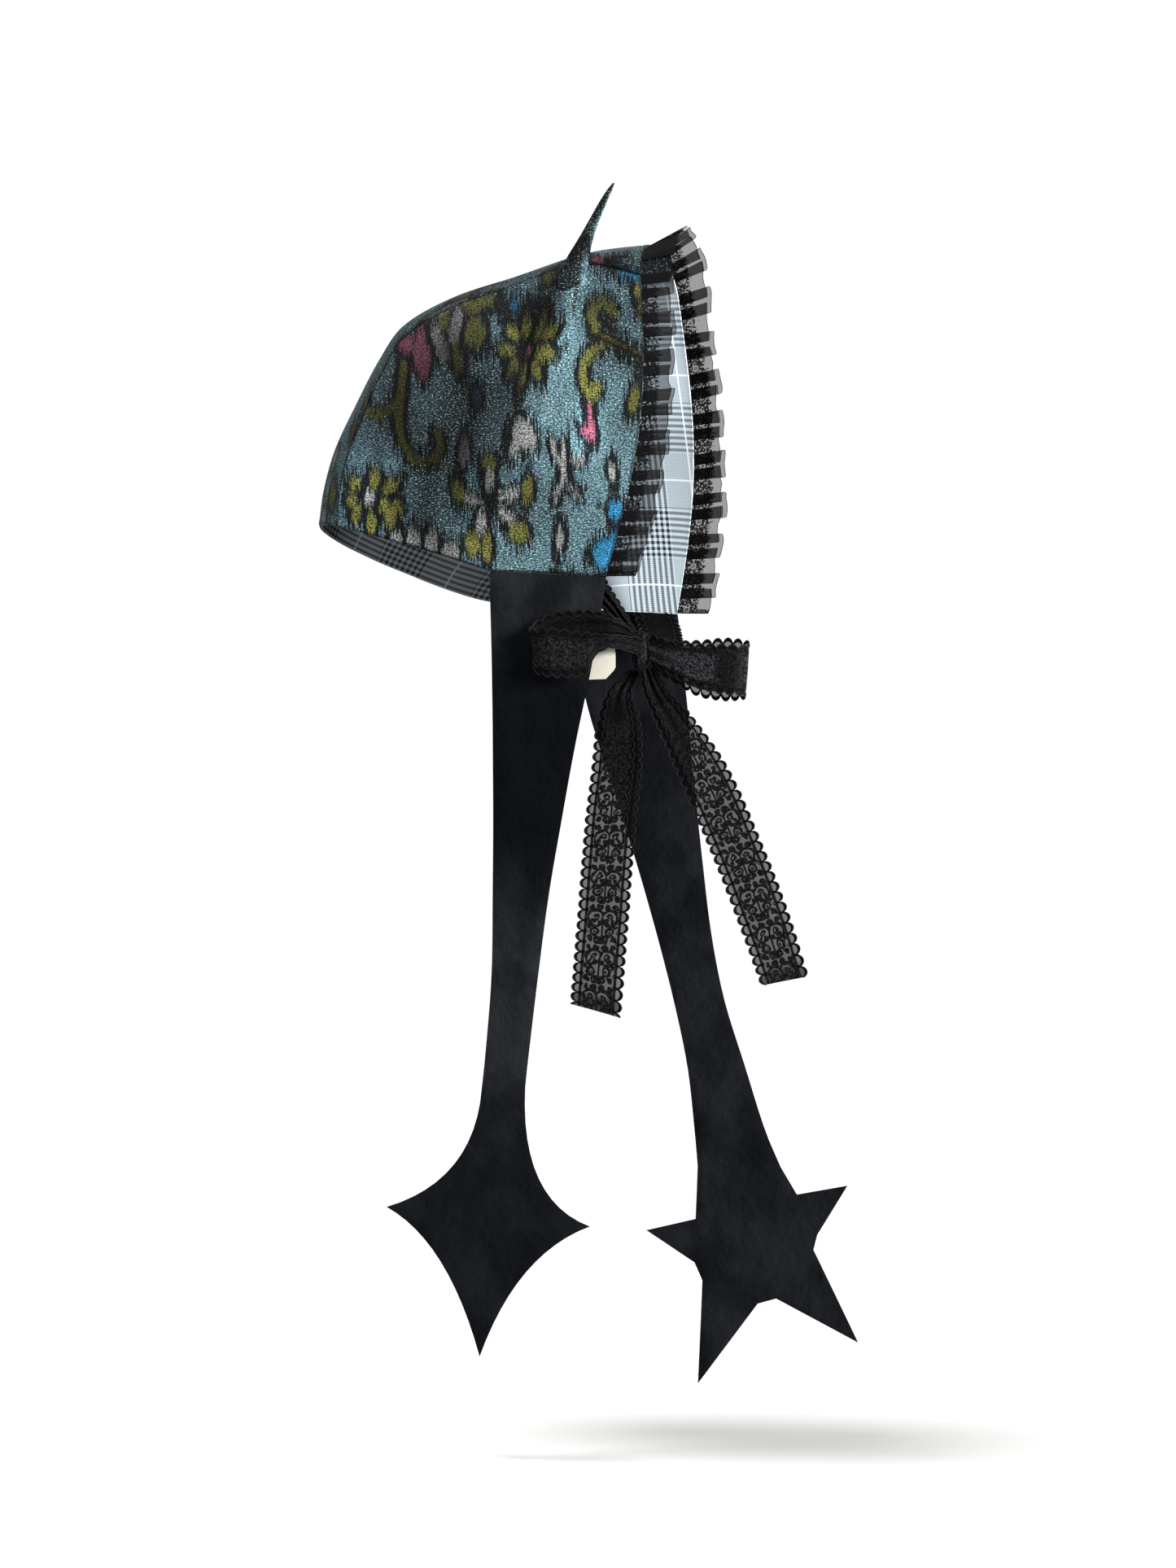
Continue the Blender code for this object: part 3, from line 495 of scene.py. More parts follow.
def camera_axes():
    """The picture's right, up and back directions and the eye."""
    back = np.array(direction(AZIMUTH, ELEVATION))
    right = unit(np.cross(-back, (0, 0, 1)))
    up = np.cross(right, -back)
    centre = right * (PICTURE_WIDTH / 2 - ORIGIN_COLUMN) * PIXEL
    centre = centre - up * (PICTURE_HEIGHT / 2 - ORIGIN_ROW) * PIXEL
    return right, up, back, centre + back * DISTANCE


RIGHT, UP, BACK, EYE = camera_axes()


def picture_place(points):
    """The picture's column and row of each point."""
    away = points - EYE
    scale = -(DISTANCE / PIXEL) / (away @ BACK)
    return PICTURE_WIDTH / 2 + away @ RIGHT * scale, PICTURE_HEIGHT / 2 - away @ UP * scale


def between(rows, at):
    """A table's other columns, smoothly read where its first column has the values at."""
    keys, values = np.split(np.array(rows, float), [1], axis=1)
    index = np.arange(len(keys))
    before = np.maximum(index - 1, 0)
    after = np.minimum(index + 1, len(keys) - 1)
    slopes = (values[after] - values[before]) / (keys[after] - keys[before])
    at = np.asarray(at, float)
    low = np.clip(np.searchsorted(keys[:, 0], at, side="right") - 1, 0, len(keys) - 2)
    span = keys[low + 1] - keys[low]
    x = (at[..., None] - keys[low]) / span
    rise = values[low + 1] - values[low]
    bend_in = slopes[low] * span - rise
    bend_out = rise - slopes[low + 1] * span
    return values[low] + rise * x + x * (1 - x) * (bend_in * (1 - x) + bend_out * x)


def fold_height(share, turn):
    """How far the panels' soft folds push the cloth outwards."""
    height = np.zeros_like(share)
    for fold in FOLDS:
        across = (share - fold.share) / fold.share_reach
        down = (turn * turn - fold.drop) / fold.drop_reach
        bump = fold.height * np.exp(-across * across - down * down)
        height += np.where(fold.turn_sign * turn > 0, bump, 0)
    return height * MM


def crown_point(share, turn):
    """Outer face of the crown: share from face edge to neck edge, turn from right hem to left hem."""
    share, turn = np.broadcast_arrays(np.asarray(share, float), np.asarray(turn, float))
    drop = turn * turn
    crest = between(CREST, share)
    bow = FRONT_BOW * (1 - share) ** 2 * np.sin(np.pi * np.minimum(drop, 1) ** FRONT_BOW_LOW)
    rounding = mix(FRONT_ROUNDING, 1, share ** ROUNDING_GROWTH)
    shoulder = mix(FRONT_SHOULDER, 1, share ** SHOULDER_GROWTH)
    dome = np.sqrt(1 - (1 - np.minimum(drop / shoulder, 1)) ** 2)
    half_width = HALF_WIDTH * (rounding * dome + (1 - rounding) * drop)
    forward = mix(crest[..., 0], mix(HEM_FRONT.forward, HEM_BACK.forward, share), drop)
    up = mix(crest[..., 1], mix(HEM_FRONT.up, HEM_BACK.up, share), drop)
    neckwards = np.maximum((share - NECK_START) / (1 - NECK_START), 0)
    up = up + between(NECK, np.clip(turn, -1, 1))[..., 0] * neckwards ** 2
    side = np.copysign(half_width + fold_height(share, turn), turn)
    return np.stack((side, -forward * MM - bow, up * MM), -1)


def crown_frame(share, turn):
    """The crown's outward direction and its direction towards the neck."""
    behind = crown_point(np.minimum(share + NUDGE, 1), turn)
    backward = unit(behind - crown_point(np.maximum(share - NUDGE, 0), turn))
    across = crown_point(share, turn + NUDGE) - crown_point(share, turn - NUDGE)
    return unit(np.cross(across, backward)), backward


def seam_turn(share):
    """Where the band's seam lies across the crown."""
    return np.sqrt(between(SEAM, share)[..., 0])


def arcs(points, axis):
    """Distance along the grid lines from their start."""
    steps = np.linalg.norm(np.diff(points, axis=axis), axis=-1)
    start = np.zeros_like(np.take(steps, [0], axis=axis))
    return np.concatenate((start, np.cumsum(steps, axis=axis)), axis=axis)


def edge_spaced(count):
    """Shares from 0 to 1, even but for a few close ones at both ends."""
    close = np.array((0, 0.0015, 0.004, 0.008, 0.013))
    middle = np.linspace(0.02, 0.98, count)
    return np.concatenate((close, middle, 1 - close[::-1]))


def arc_point(start, bend, end, way):
    """The point a share of the way along a quadratic arc."""
    return mix(mix(start, bend, way), mix(bend, end, way), way)


def add_object(name, data):
    """A new object in the scene."""
    item = bpy.data.objects.new(name, data)
    bpy.context.collection.objects.link(item)
    return item


def spokes(angles, first, second):
    """Directions round each place of a path, from two directions across it."""
    return np.cos(angles)[:, None] * first[:, None] + np.sin(angles)[:, None] * second[:, None]


class Piece:
    """One mesh, gathered from grids of points with vectors on them."""

    def __init__(self):
        self.points = []
        self.faces = []
        self.fields = {}
        self.count = 0

    def grid(self, points, fields=None, wrap=False, reverse=False):
        """Add a grid of faces, and give the numbers of its points."""
        rows, columns = points.shape[:2]
        numbers = np.arange(rows * columns).reshape(rows, columns) + self.count
        for name, vectors in (fields or {}).items():
            self.fields.setdefault(name, []).append((self.count, vectors.reshape(-1, 3)))
        self.points.append(points.reshape(-1, 3))
        self.count += rows * columns
        self.join(numbers, wrap, reverse)
        return numbers

    def join(self, numbers, wrap=False, reverse=False):
        """Add faces between rows of points that are there already."""
        if wrap:
            numbers = np.concatenate((numbers, numbers[:, :1]), axis=1)
        a, b = numbers[:-1, :-1], numbers[:-1, 1:]
        c, d = numbers[1:, 1:], numbers[1:, :-1]
        corners = (d, c, b, a) if reverse else (a, b, c, d)
        self.faces.append(np.stack(corners, -1).reshape(-1, 4))

    def sheet(self, outer, inner, fields):
        """Add a closed sheet between two grids."""
        top = self.grid(outer, fields)
        bottom = self.grid(inner, fields, reverse=True)
        for edge in (np.s_[0, :], np.s_[-1, ::-1], np.s_[::-1, 0], np.s_[:, -1]):
            self.join(np.stack((bottom[edge], top[edge])))

    def tube(self, path, normal, radius, sides=6):
        """Add a closed round cord along a path; normal is any direction across it."""
        along = unit(np.gradient(path, axis=0))
        side = unit(np.cross(along, normal))
        up = np.cross(side, along)
        angles = np.arange(sides) / sides * 2 * np.pi
        start, end = (np.repeat(path[[place]][:, None], sides, axis=1) for place in (0, -1))
        body = path[:, None] + spokes(angles, side, up) * radius
        self.grid(np.concatenate((start, body, end)), wrap=True)

    def build(self, name, material, sharp=50):
        """Make the object."""
        mesh = bpy.data.meshes.new(name)
        points = np.concatenate(self.points)
        mesh.from_pydata(points.tolist(), [], np.concatenate(self.faces).tolist())
        for field, parts in self.fields.items():
            values = np.zeros((len(points), 3), np.float32)
            for start, vectors in parts:
                values[start : start + len(vectors)] = vectors
            mesh.attributes.new(field, "FLOAT_VECTOR", "POINT").data.foreach_set("vector", values.ravel())
        mesh.validate()
        return place_mesh(mesh, material, sharp)


def place_mesh(mesh, material, sharp):
    """The smooth object of a mesh, with edges where faces meet at more than so many degrees."""
    mesh.shade_smooth()
    mesh.set_sharp_from_angle(angle=math.radians(sharp))
    mesh.materials.append(material)
    return add_object(mesh.name, mesh)


def attach(item, slot, *nodes):
    """Let a piece ride on the part in place of its CAD nodes."""
    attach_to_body(item, "root")
    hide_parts(*nodes)
    return item


class Value:
    """A number in a material; Python's own signs add Math nodes."""

    def __init__(self, graph, socket):
        self.math = graph.math
        self.socket = socket

    def __add__(self, other):
        return self.math("ADD", self, other)

    def __sub__(self, other):
        return self.math("SUBTRACT", self, other)

    def __rsub__(self, other):
        return self.math("SUBTRACT", other, self)

    def __mul__(self, other):
        return self.math("MULTIPLY", self, other)

    def __mod__(self, other):
        return self.math("MODULO", self, other)

    def __pow__(self, other):
        return self.math("POWER", self, other)

    def __abs__(self):
        return self.math("ABSOLUTE", self)

    __radd__ = __add__
    __rmul__ = __mul__


class Graph:
    """A material's nodes, added one call at a time."""

    def __init__(self, name):
        self.material = bpy.data.materials.new(name)
        self.material.use_nodes = True
        self.tree = self.material.node_tree
        self.shader = self.tree.nodes["Principled BSDF"]
        self.output = self.tree.nodes["Material Output"]

    def node(self, kind, inputs=None, **settings):
        """A node with its settings, and its inputs set to values or joined to sockets."""
        made = self.tree.nodes.new(kind)
        for name, value in settings.items():
            setattr(made, name, value)
        for key, value in (inputs or {}).items():
            self.put(made.inputs[key], value)
        return made

    def put(self, socket, value):
        """Set a socket to a value, or join it to another socket."""
        value = value.socket if isinstance(value, Value) else value
        if isinstance(value, bpy.types.NodeSocket):
            self.tree.links.new(value, socket)
        elif isinstance(value, tuple):
            socket.default_value = (*value, 1)
        else:
            socket.default_value = value

    def set(self, **inputs):
        """Set the shader's inputs; an underscore stands for a space."""
        for name, value in inputs.items():
            self.put(self.shader.inputs[name.replace("_", " ")], value)

    def math(self, operation, a, b=0.0, clamp=False):
        """A Math node's result."""
        made = self.node("ShaderNodeMath", {0: a, 1: b}, operation=operation, use_clamp=clamp)
        return Value(self, made.outputs[0])

    def highest(self, a, b, clamp=False):
        """The higher of two numbers."""
        return self.math("MAXIMUM", a, b, clamp)

    def zigzag(self, value, high):
        """The value folded back and forth between 0 and high."""
        return self.math("PINGPONG", value, high)

    def field(self, name):
        """A mesh's vector field, as three numbers."""
        vector = self.node("ShaderNodeAttribute", attribute_name=name).outputs["Vector"]
        return [Value(self, part) for part in self.node("ShaderNodeSeparateXYZ", {0: vector}).outputs]

    def place(self):
        """The place on the object."""
        return self.node("ShaderNodeTexCoord").outputs["Object"]

    def vector(self, x, y):
        """Two numbers as a vector."""
        return self.node("ShaderNodeCombineXYZ", {0: x, 1: y}).outputs[0]

    def noise(self, vector, scale=1.0, detail=2.0, roughness=0.5):
        """Soft noise from 0 to 1."""
        inputs = {"Vector": vector, "Scale": scale, "Detail": detail, "Roughness": roughness}
        return Value(self, self.node("ShaderNodeTexNoise", inputs).outputs["Fac"])

    def ramp(self, value, low, high, start=0.0, end=1.0):
        """The value from low to high, taken smoothly from start to end."""
        inputs = {"Value": value, "From Min": low, "From Max": high, "To Min": start, "To Max": end}
        made = self.node("ShaderNodeMapRange", inputs, interpolation_type="SMOOTHSTEP")
        return Value(self, made.outputs[0])

    def blend(self, share, a, b, mode="MIX"):
        """Two colours mixed by a share."""
        made = self.node("ShaderNodeMix", {0: share, 6: a, 7: b}, data_type="RGBA", blend_type=mode)
        return made.outputs[2]

    def shaded(self, colour, painted_shading):
        """A colour made darker or lighter by painted light and shade."""
        grey = self.node("ShaderNodeCombineColor", {0: painted_shading, 1: painted_shading, 2: painted_shading}).outputs[0]
        return self.blend(1.0, colour, grey, "MULTIPLY")

    def bump(self, height, distance):
        """A bumped normal."""
        return self.node("ShaderNodeBump", {"Height": height, "Distance": distance}).outputs[0]

    def see_through(self, solidity):
        """Let light through where solidity is under 1."""
        clear = self.node("ShaderNodeBsdfTransparent").outputs[0]
        mixed = self.node("ShaderNodeMixShader", {0: solidity, 1: clear, 2: self.shader.outputs[0]})
        self.tree.links.new(mixed.outputs[0], self.output.inputs["Surface"])


def ikat_material():
    """Teal cloth with metal threads and feathered flowers, read from the pattern's fields, with painted
    light and shade.
    """
    g = Graph("ikat_cloth")
    across, down, painted_shading = g.field("print_place")

    def slips(wide, long):
        way = g.noise(g.vector(across * wide, down * long), roughness=0.6)
        way = g.ramp(way, 0.30, 0.70, -1.0, 1.0)
        return g.highest(way, 0.0), g.highest(way * -1.0, 0.0)

    short, far = slips(1250, 60), slips(900, 40)
    levels = {}
    for group in ("light", "dark"):
        levels[group] = [g.field(group + "_" + level) for level in ("high", "middle", "low")]

    def mask(group, channel, soft, slip=short):
        high, middle, low = (fields[channel] for fields in levels[group])
        distance = middle + ((high - middle) * slip[0] + (low - middle) * slip[1])
        return g.ramp(distance, -soft, soft, 1, 0)

    cloud = g.ramp(g.noise(g.vector(across, down), 22), 0.35, 0.68)
    threads = g.vector(across * 0.62, down)
    slub = g.noise(threads, 950, 3.0, 0.9)
    deep = g.blend(cloud, (0.003, 0.007, 0.009), (0.005, 0.013, 0.017))
    pale = g.blend(cloud, (0.070, 0.137, 0.162), (0.094, 0.188, 0.224))
    colour = g.blend(g.ramp(slub, 0.46, 0.61), deep, pale)
    black = (0.0008, 0.0010, 0.0013)
    dusk = g.blend(g.ramp(slub, 0.52, 0.66), black, (0.011, 0.015, 0.017))
    colour = g.blend(mask("dark", 2, 0.9, far), colour, dusk)
    grain = g.ramp(slub, 0.44, 0.60)
    for group, channel, low, high in (
        ("light", 0, (0.004, 0.004, 0.001), (0.136, 0.138, 0.034)),
        ("light", 1, (0.008, 0.009, 0.010), (0.240, 0.248, 0.248)),
        ("light", 2, (0.022, 0.005, 0.009), (0.170, 0.056, 0.088)),
        ("dark", 0, (0.002, 0.014, 0.034), (0.016, 0.125, 0.225)),
    ):
        colour = g.blend(mask(group, channel, 1.0), colour, g.blend(grain, low, high))
    colour = g.blend(mask("dark", 1, 1.5), colour, black)
    # Painted glints: lighter flecks of the metal threads, also made partly metallic, dimmer in the painted
    # shade
    sparkle = g.ramp(g.noise(threads, 1050, roughness=0.6), 0.57, 0.66)
    glint = sparkle * (1 - mask("dark", 2, 3.0, far) * 0.93)
    # Painted light and shade: the cloth's colours darkened and lightened by the chart's patches
    colour = g.shaded(colour, painted_shading ** 1.2)
    shine = g.shaded((0.36, 0.46, 0.49), painted_shading ** 0.38)
    colour = g.blend(glint * 0.78, colour, shine)
    g.set(Base_Color=colour, Roughness=0.6, Metallic=glint * 0.5, Specular_IOR_Level=0.04)
    g.set(Normal=g.bump(slub + glint * 0.5, 0.35 * MM))
    return g.material


def plaid_material():
    """Glen check: groups of dark lines both ways over a fine check, with a thin pale overcheck."""
    g = Graph("plaid_lining")
    across, up, painted_shading = g.field("weave_place")
    period, group, pitch, fine = 79 * MM, 38 * MM, 4.5 * MM, 1.6 * MM

    def lines(place, start):
        inside = (place + (10 * period - start)) % period
        wide = g.ramp(g.zigzag(inside, pitch / 2), pitch * 0.22, pitch * 0.28)
        thin = g.ramp(g.zigzag(inside, fine / 2), fine * 0.15, fine * 0.35, 0.15, 0.42)
        in_group = g.ramp(inside, group - 0.1 * MM, group + 0.1 * MM, 1, 0)
        from_line = abs(inside - (period + group) / 2)
        return wide * in_group + thin * (1 - in_group), g.ramp(from_line, 0.4 * MM, 0.9 * MM, 1, 0)

    dark_across, pale_across = lines(across, PLAID_ACROSS)
    dark_up, pale_up = lines(up, PLAID_UP)
    dark = g.math("ADD", dark_across * 0.62, dark_up * 0.55, clamp=True)
    colour = g.blend(dark, (0.37, 0.435, 0.485), (0.010, 0.013, 0.017))
    colour = g.blend(g.highest(pale_across, pale_up) * 0.75, colour, (0.55, 0.57, 0.58))
    # The lining's colour darkened and lightened by its painted light and shade
    g.set(Base_Color=g.shaded(colour, painted_shading), Roughness=0.9, Specular_IOR_Level=0.05)
    g.set(Normal=g.bump(g.noise(g.vector(across, up), 2500, 1.0), 0.12 * MM))
    return g.material


def organza_material():
    """Sheer pleated organza, with black lace embroidery on its inner half."""
    g = Graph("pleated_organza")
    along, width, _ = g.field("strip_place")
    hem, cover, reach = g.field("hem_place")
    inside = along % ORGANZA_REPEAT - ORGANZA_REPEAT / 2
    low = width - 6.5 * MM
    far = (inside * inside + low * low) ** 0.5
    ring = g.ramp(abs(far - 1.9 * MM), 0.3 * MM, 0.55 * MM, 1, 0)
    hole = g.math("ADD", ring, g.ramp(far, 0.3 * MM, 0.6 * MM, 1, 0), clamp=True)
    gaps = g.ramp(g.noise(g.vector(along, width), 560, roughness=0.6), 0.54, 0.60)
    hole = g.highest(hole, gaps * 0.8) * (0.8 - cover * 0.55)
    fringe = g.noise(g.vector(along * 420, width * 90), detail=3.0, roughness=0.65)
    edge = width + (fringe - 0.5) * (22 * MM) - reach
    lace = g.highest(g.ramp(edge, 10.4 * MM, 11 * MM, 1, 0), cover) * (1 - hole)
    net = g.noise(g.vector(along * 2600, width * 500), detail=1.0) * 0.14 + 0.6
    solid = g.highest(lace * 0.99, net)
    solid = g.highest(solid, g.ramp(hem, 0.5 * MM, 0.8 * MM, 0.97, 0))
    colour = g.blend(lace, (0.0050, 0.0050, 0.0058), (0.0012, 0.0012, 0.0014))
    g.set(Base_Color=colour, Roughness=0.7, Normal=g.bump(lace, 0.25 * MM), Specular_IOR_Level=0.03)
    g.see_through(solid)
    return g.material


def cotton_material():
    """Black cotton with a fine weave and soft creases, with painted light in bands down the right strap."""
    g = Graph("strap_cotton")
    place = g.place()
    side, _, high = g.node("ShaderNodeSeparateXYZ", {0: place}).outputs
    near = g.ramp(side, 0.0, -0.05)
    weave = g.noise(place, 2600, 1.0)
    # Painted light in bands by height down the right strap; on both straps the colour also varies in soft
    # patches
    low = g.ramp(high, -0.42, -0.53) * g.ramp(high, -0.585, -0.64, 0.95, 0.28)
    top = g.ramp(high, -0.34, -0.26, 0, 0.85)
    pale = g.highest(low, top) * near + (1 - near) * 0.45
    cloud = g.ramp(g.noise(place, 24, 3.0, 0.55), 0.36, 0.66, 0.45, 1.50)
    pale = g.math("MULTIPLY", pale, cloud, clamp=True)
    colour = g.blend(pale, (0.0008, 0.0011, 0.0017), (0.0060, 0.0068, 0.0082))
    colour = g.blend(g.ramp(weave, 0.52, 0.7) * 0.1, colour, (0.006, 0.0066, 0.008))
    height = g.noise(place, 30, 4.0, 0.6) * 22.0 + weave
    g.set(Base_Color=colour, Roughness=0.8, Normal=g.bump(height, 0.2 * MM), Specular_IOR_Level=0.02)
    return g.material


def lace_material():
    """Black lace: net with cord lines, scallops and an embroidered heart in each repeat."""
    g = Graph("lace")
    along, aside, lobe = g.field("lace_place")
    painted_shading, closeness, _ = g.field("lace_painted_shading_and_net")
    wide = abs(aside)
    inside = (along + 10 * LACE_REPEAT) % LACE_REPEAT - LACE_REPEAT / 2
    place = g.vector(along, aside)

    def wander(vector):
        return (g.noise(vector, 150) - 0.5) * (6 * MM)

    loose_inside = inside + wander(place)
    loose_wide = abs(aside + wander(g.vector(aside, along)))

    def line(distance, half):
        return g.ramp(abs(distance), half * 0.7, half * 1.3, 1, 0)

    motif = line(wide, 0.95 * MM) * g.ramp(inside, -4.5 * MM, -3.5 * MM)
    for ring in LACE_RINGS:
        a = loose_inside - ring.along * MM
        b = loose_wide - ring.aside * MM
        motif = g.highest(motif, line((a * a + b * b) ** 0.5 - ring.radius * MM, ring.half * MM))
    motif = motif * g.ramp(wide, 11.2 * MM, 11.6 * MM, 1, 0)
    thread = g.highest(motif, line(wide - 12.4 * MM, 1.3 * MM))
    in_scallop = g.ramp(wide, 13.0 * MM, 13.4 * MM)
    spoke = g.ramp(g.zigzag(along, SCALLOP / 2), 0.8 * MM, 1.4 * MM, 1, 0) * in_scallop
    thread = g.highest(thread, g.highest(g.ramp(lobe, 0.86, 0.9), spoke))
    solid = g.highest(thread, closeness - in_scallop * 0.05, clamp=True)
    # Painted highlights: flecks on the embroidered threads drawn lighter, as far as each ribbon's painted
    # light allows
    painted_highlight_flecks = g.ramp(g.noise(place, 620, roughness=0.75), 0.46, 0.60)
    colour = g.blend(motif * painted_highlight_flecks * painted_shading, (0.0009, 0.0010, 0.0012), (0.0210, 0.0215, 0.0245))
    height = thread + g.noise(place, 900) * 0.35
    g.set(Base_Color=colour, Roughness=0.55, Normal=g.bump(height, 0.6 * MM), Specular_IOR_Level=0.03)
    g.see_through(solid)
    return g.material


def cord_material():
    """The black thread of the lace's raised edges."""
    g = Graph("lace_cord")
    twist = g.noise(g.place(), 1800, 1.0)
    colour = g.blend(twist, (0.0012, 0.0012, 0.0014), (0.0050, 0.0050, 0.0056))
    g.set(Base_Color=colour, Roughness=0.55, Normal=g.bump(twist, 0.2 * MM), Specular_IOR_Level=0.05)
    return g.material


def tape_material():
    """Plain cream satin tape."""
    g = Graph("label_tape")
    colour = g.blend(g.noise(g.place(), 60, 3.0), (0.27, 0.25, 0.21), (0.32, 0.31, 0.28))
    g.set(Base_Color=colour, Roughness=0.6, Normal=g.bump(g.noise(g.place(), 3000, 1.0), 0.08 * MM))
    return g.material


def spot_place(column, row, spot):
    """Places as seen from a spot's own centre and turn."""
    angle = math.radians(spot.turn)
    right, down = column - spot.column, row - spot.row
    return right * math.cos(angle) + down * math.sin(angle), down * math.cos(angle) - right * math.sin(angle)


def blob_distance(column, row, blob):
    """About how far each place lies outside a blob, in pixels."""
    x, y = spot_place(column, row, blob)
    reach = np.sqrt((x / blob.half_width) ** 2 + (y / blob.half_height) ** 2)
    return (reach - 1) * min(blob.half_width, blob.half_height)


def stroke_distance(column, row, points, radius):
    """How far each place lies outside a stroke through the points, in pixels."""
    best = np.full(column.shape, 1e9)
    for (x0, y0), (x1, y1) in zip(points, points[1:]):
        dx, dy = x1 - x0, y1 - y0
        way = np.clip(((column - x0) * dx + (row - y0) * dy) / (dx * dx + dy * dy), 0, 1)
        best = np.minimum(best, np.hypot(column - x0 - dx * way, row - y0 - dy * way))
    return best - radius


def flower_blobs():
    """The petals and eyes of the whole flowers."""
    rows = []
    for flower in FLOWERS:
        size = flower.size
        for petal in range(flower.petals):
            angle = FIRST_PETAL + petal / flower.petals * 2 * math.pi
            column = flower.column + PETAL_REACH * size * math.cos(angle)
            row = flower.row + PETAL_REACH * size * math.sin(angle)
            turn = math.degrees(angle) - 90
            rows.append((flower.colour, column, row, PETAL_WIDTH * size, PETAL_LENGTH * size, turn))
        rows.append((flower.eye, flower.column, flower.row, EYE_SIZE * size, EYE_SIZE * size))
    return table(BLOB_COLUMNS, *rows)


def motif_fields(column, row):
    """How far outside the motifs of each colour, and outside all of them, each chart place lies."""
    fields = [np.full(column.shape, float(FIELD_REACH)) for _ in range(6)]
    for blob in BLOBS + flower_blobs():
        fields[blob.colour] = np.minimum(fields[blob.colour], blob_distance(column, row, blob))
    for stroke in STROKES:
        distance = stroke_distance(column, row, stroke.points, stroke.radius)
        fields[stroke.colour] = np.minimum(fields[stroke.colour], distance)
    fields[SHADE] = np.minimum(np.minimum.reduce(fields[:BLACK]) - OUTLINE, fields[SHADE])
    return fields


def painted_cloth_shading(column, row):
    """The cloth's painted light and shade at each chart place."""
    painted_shading = np.ones(column.shape)
    for shade in SHADES:
        x, y = spot_place(column, row, shade)
        painted_shading *= 1 + shade.change * np.exp(-((x / shade.half_width) ** 2) - (y / shade.half_height) ** 2)
    return painted_shading


def ikat_fields(column, row):
    """The pattern's fields at places of the chart, and a thread's slip above and below them."""
    # The place on the chart, with the cloth's painted light and shade as its third number
    found = {"print_place": np.stack((column * PIXEL, row * PIXEL, painted_cloth_shading(column, row)), -1)}
    for level, way in (("high", -1), ("middle", 0), ("low", 1)):
        fields = motif_fields(column, row + way * SLIP)
        if way:
            fields[SHADE] = motif_fields(column, row + way * LONG_SLIP)[SHADE]
        found["light_" + level] = np.stack(fields[:3], -1)
        found["dark_" + level] = np.stack(fields[3:], -1)
    return found


def crease_height(points):
    """How far the near panel's creases stand out of the cloth."""
    column, row = picture_place(points)
    inside = np.clip(row, RIDGE[0].row, RIDGE[-1].row)
    middle, height = np.moveaxis(between(RIDGE, inside), -1, 0)
    beside = column - middle
    reach = np.where(beside > 0, RIDGE_FRONT, RIDGE_BACK)
    height = height * np.exp(-((beside / reach) ** 2) - ((row - inside) / RIDGE_FADE) ** 2)
    for crease in CREASES:
        away = stroke_distance(column, row, crease.points, 0)
        height += crease.height * np.exp(-((away / crease.radius) ** 2))
    return height * MM


def edge_roll(points):
    """How far the cloth rounds off towards its edges, and the distance from them."""
    distance = np.full(points.shape[:2], 1.0)
    for axis in (0, 1):
        run = arcs(points, axis)
        total = np.take(run, [-1], axis=axis)
        distance = np.minimum(distance, np.minimum(run, total - run))
    near = 1 - np.clip(distance / EDGE_ROUND, 0, 1)
    return WALL * 0.5 * (1 - np.sqrt(1 - near * near)), distance


def seam_edge(share, side):
    """The cloth's edge beside the seam, below it where side is 1 and above it where side is -1."""
    seam = seam_turn(share)
    pace = np.linalg.norm(crown_point(share, seam + NUDGE) - crown_point(share, seam), axis=-1) / NUDGE
    return seam + side * JOIN_GAP / 2 / pace


def pucker(distance, run, seed):
    """The small puckers that the stitches draw beside an edge."""
    return PUCKER_HEIGHT * np.exp(-distance / PUCKER_REACH) * ripple(run / PUCKER_LENGTH, seed)


def make_shell(name, node, flat, share, turn, relief, chart, inner_painted_shading, material):
    """A stretch of the crown's cloth; relief and chart are functions of its places."""
    share = np.broadcast_to(share, turn.shape)
    base = crown_point(share, turn)
    outward, _ = crown_frame(share, turn)
    roll, distance = edge_roll(base)
    outer = base + outward * (relief(base, distance) - roll)[..., None]
    fields = ikat_fields(*chart(base))
    # Painted shade along the cloth's edges and seams, and over the whole band
    fields["print_place"][..., 2] *= mix(EDGE_SHADE, inner_painted_shading, smooth(0.8 * MM, 2.4 * MM, distance))
    piece = Piece()
    piece.sheet(outer, base - outward * WALL, fields)
    if node == "side_panel_right":
        add_horn(piece)
    item = attach(piece.build(name, material), "ikat_cloth", node)


def make_panel(sign, material):
    """A side panel of the crown, with the horn drawn out of the right one."""
    cells = NEAR_CELLS if sign < 0 else FAR_CELLS
    share = edge_spaced(cells)[:, None]
    turn = mix(seam_edge(share, 1), 1, edge_spaced(cells)[None, :])
    if sign < 0:
        turn = -turn[:, ::-1]

    def relief(base, distance):
        along, across = arcs(base, 0), arcs(base, 1)
        slack = 0.9 * MM * ripple(along / (26 * MM), 1.3 + sign) * ripple(across / (31 * MM), 4.1)
        height = pucker(distance, along + across, 2.0) + slack * smooth(0, 25 * MM, distance)
        if sign < 0:
            height += crease_height(base) * smooth(0, 4 * MM, distance)
        return height

    def chart(base):
        column, row = picture_place(base * np.array((-sign, 1, 1)))
        return (FAR_FLIP - column, row + FAR_SHIFT) if sign > 0 else (column, row)

    side = "right" if sign < 0 else "left"
    names = (side + "_side_cloth", "side_panel_" + side)
    make_shell(*names, (0.27, 0.36), share, turn, relief, chart, 1, material)


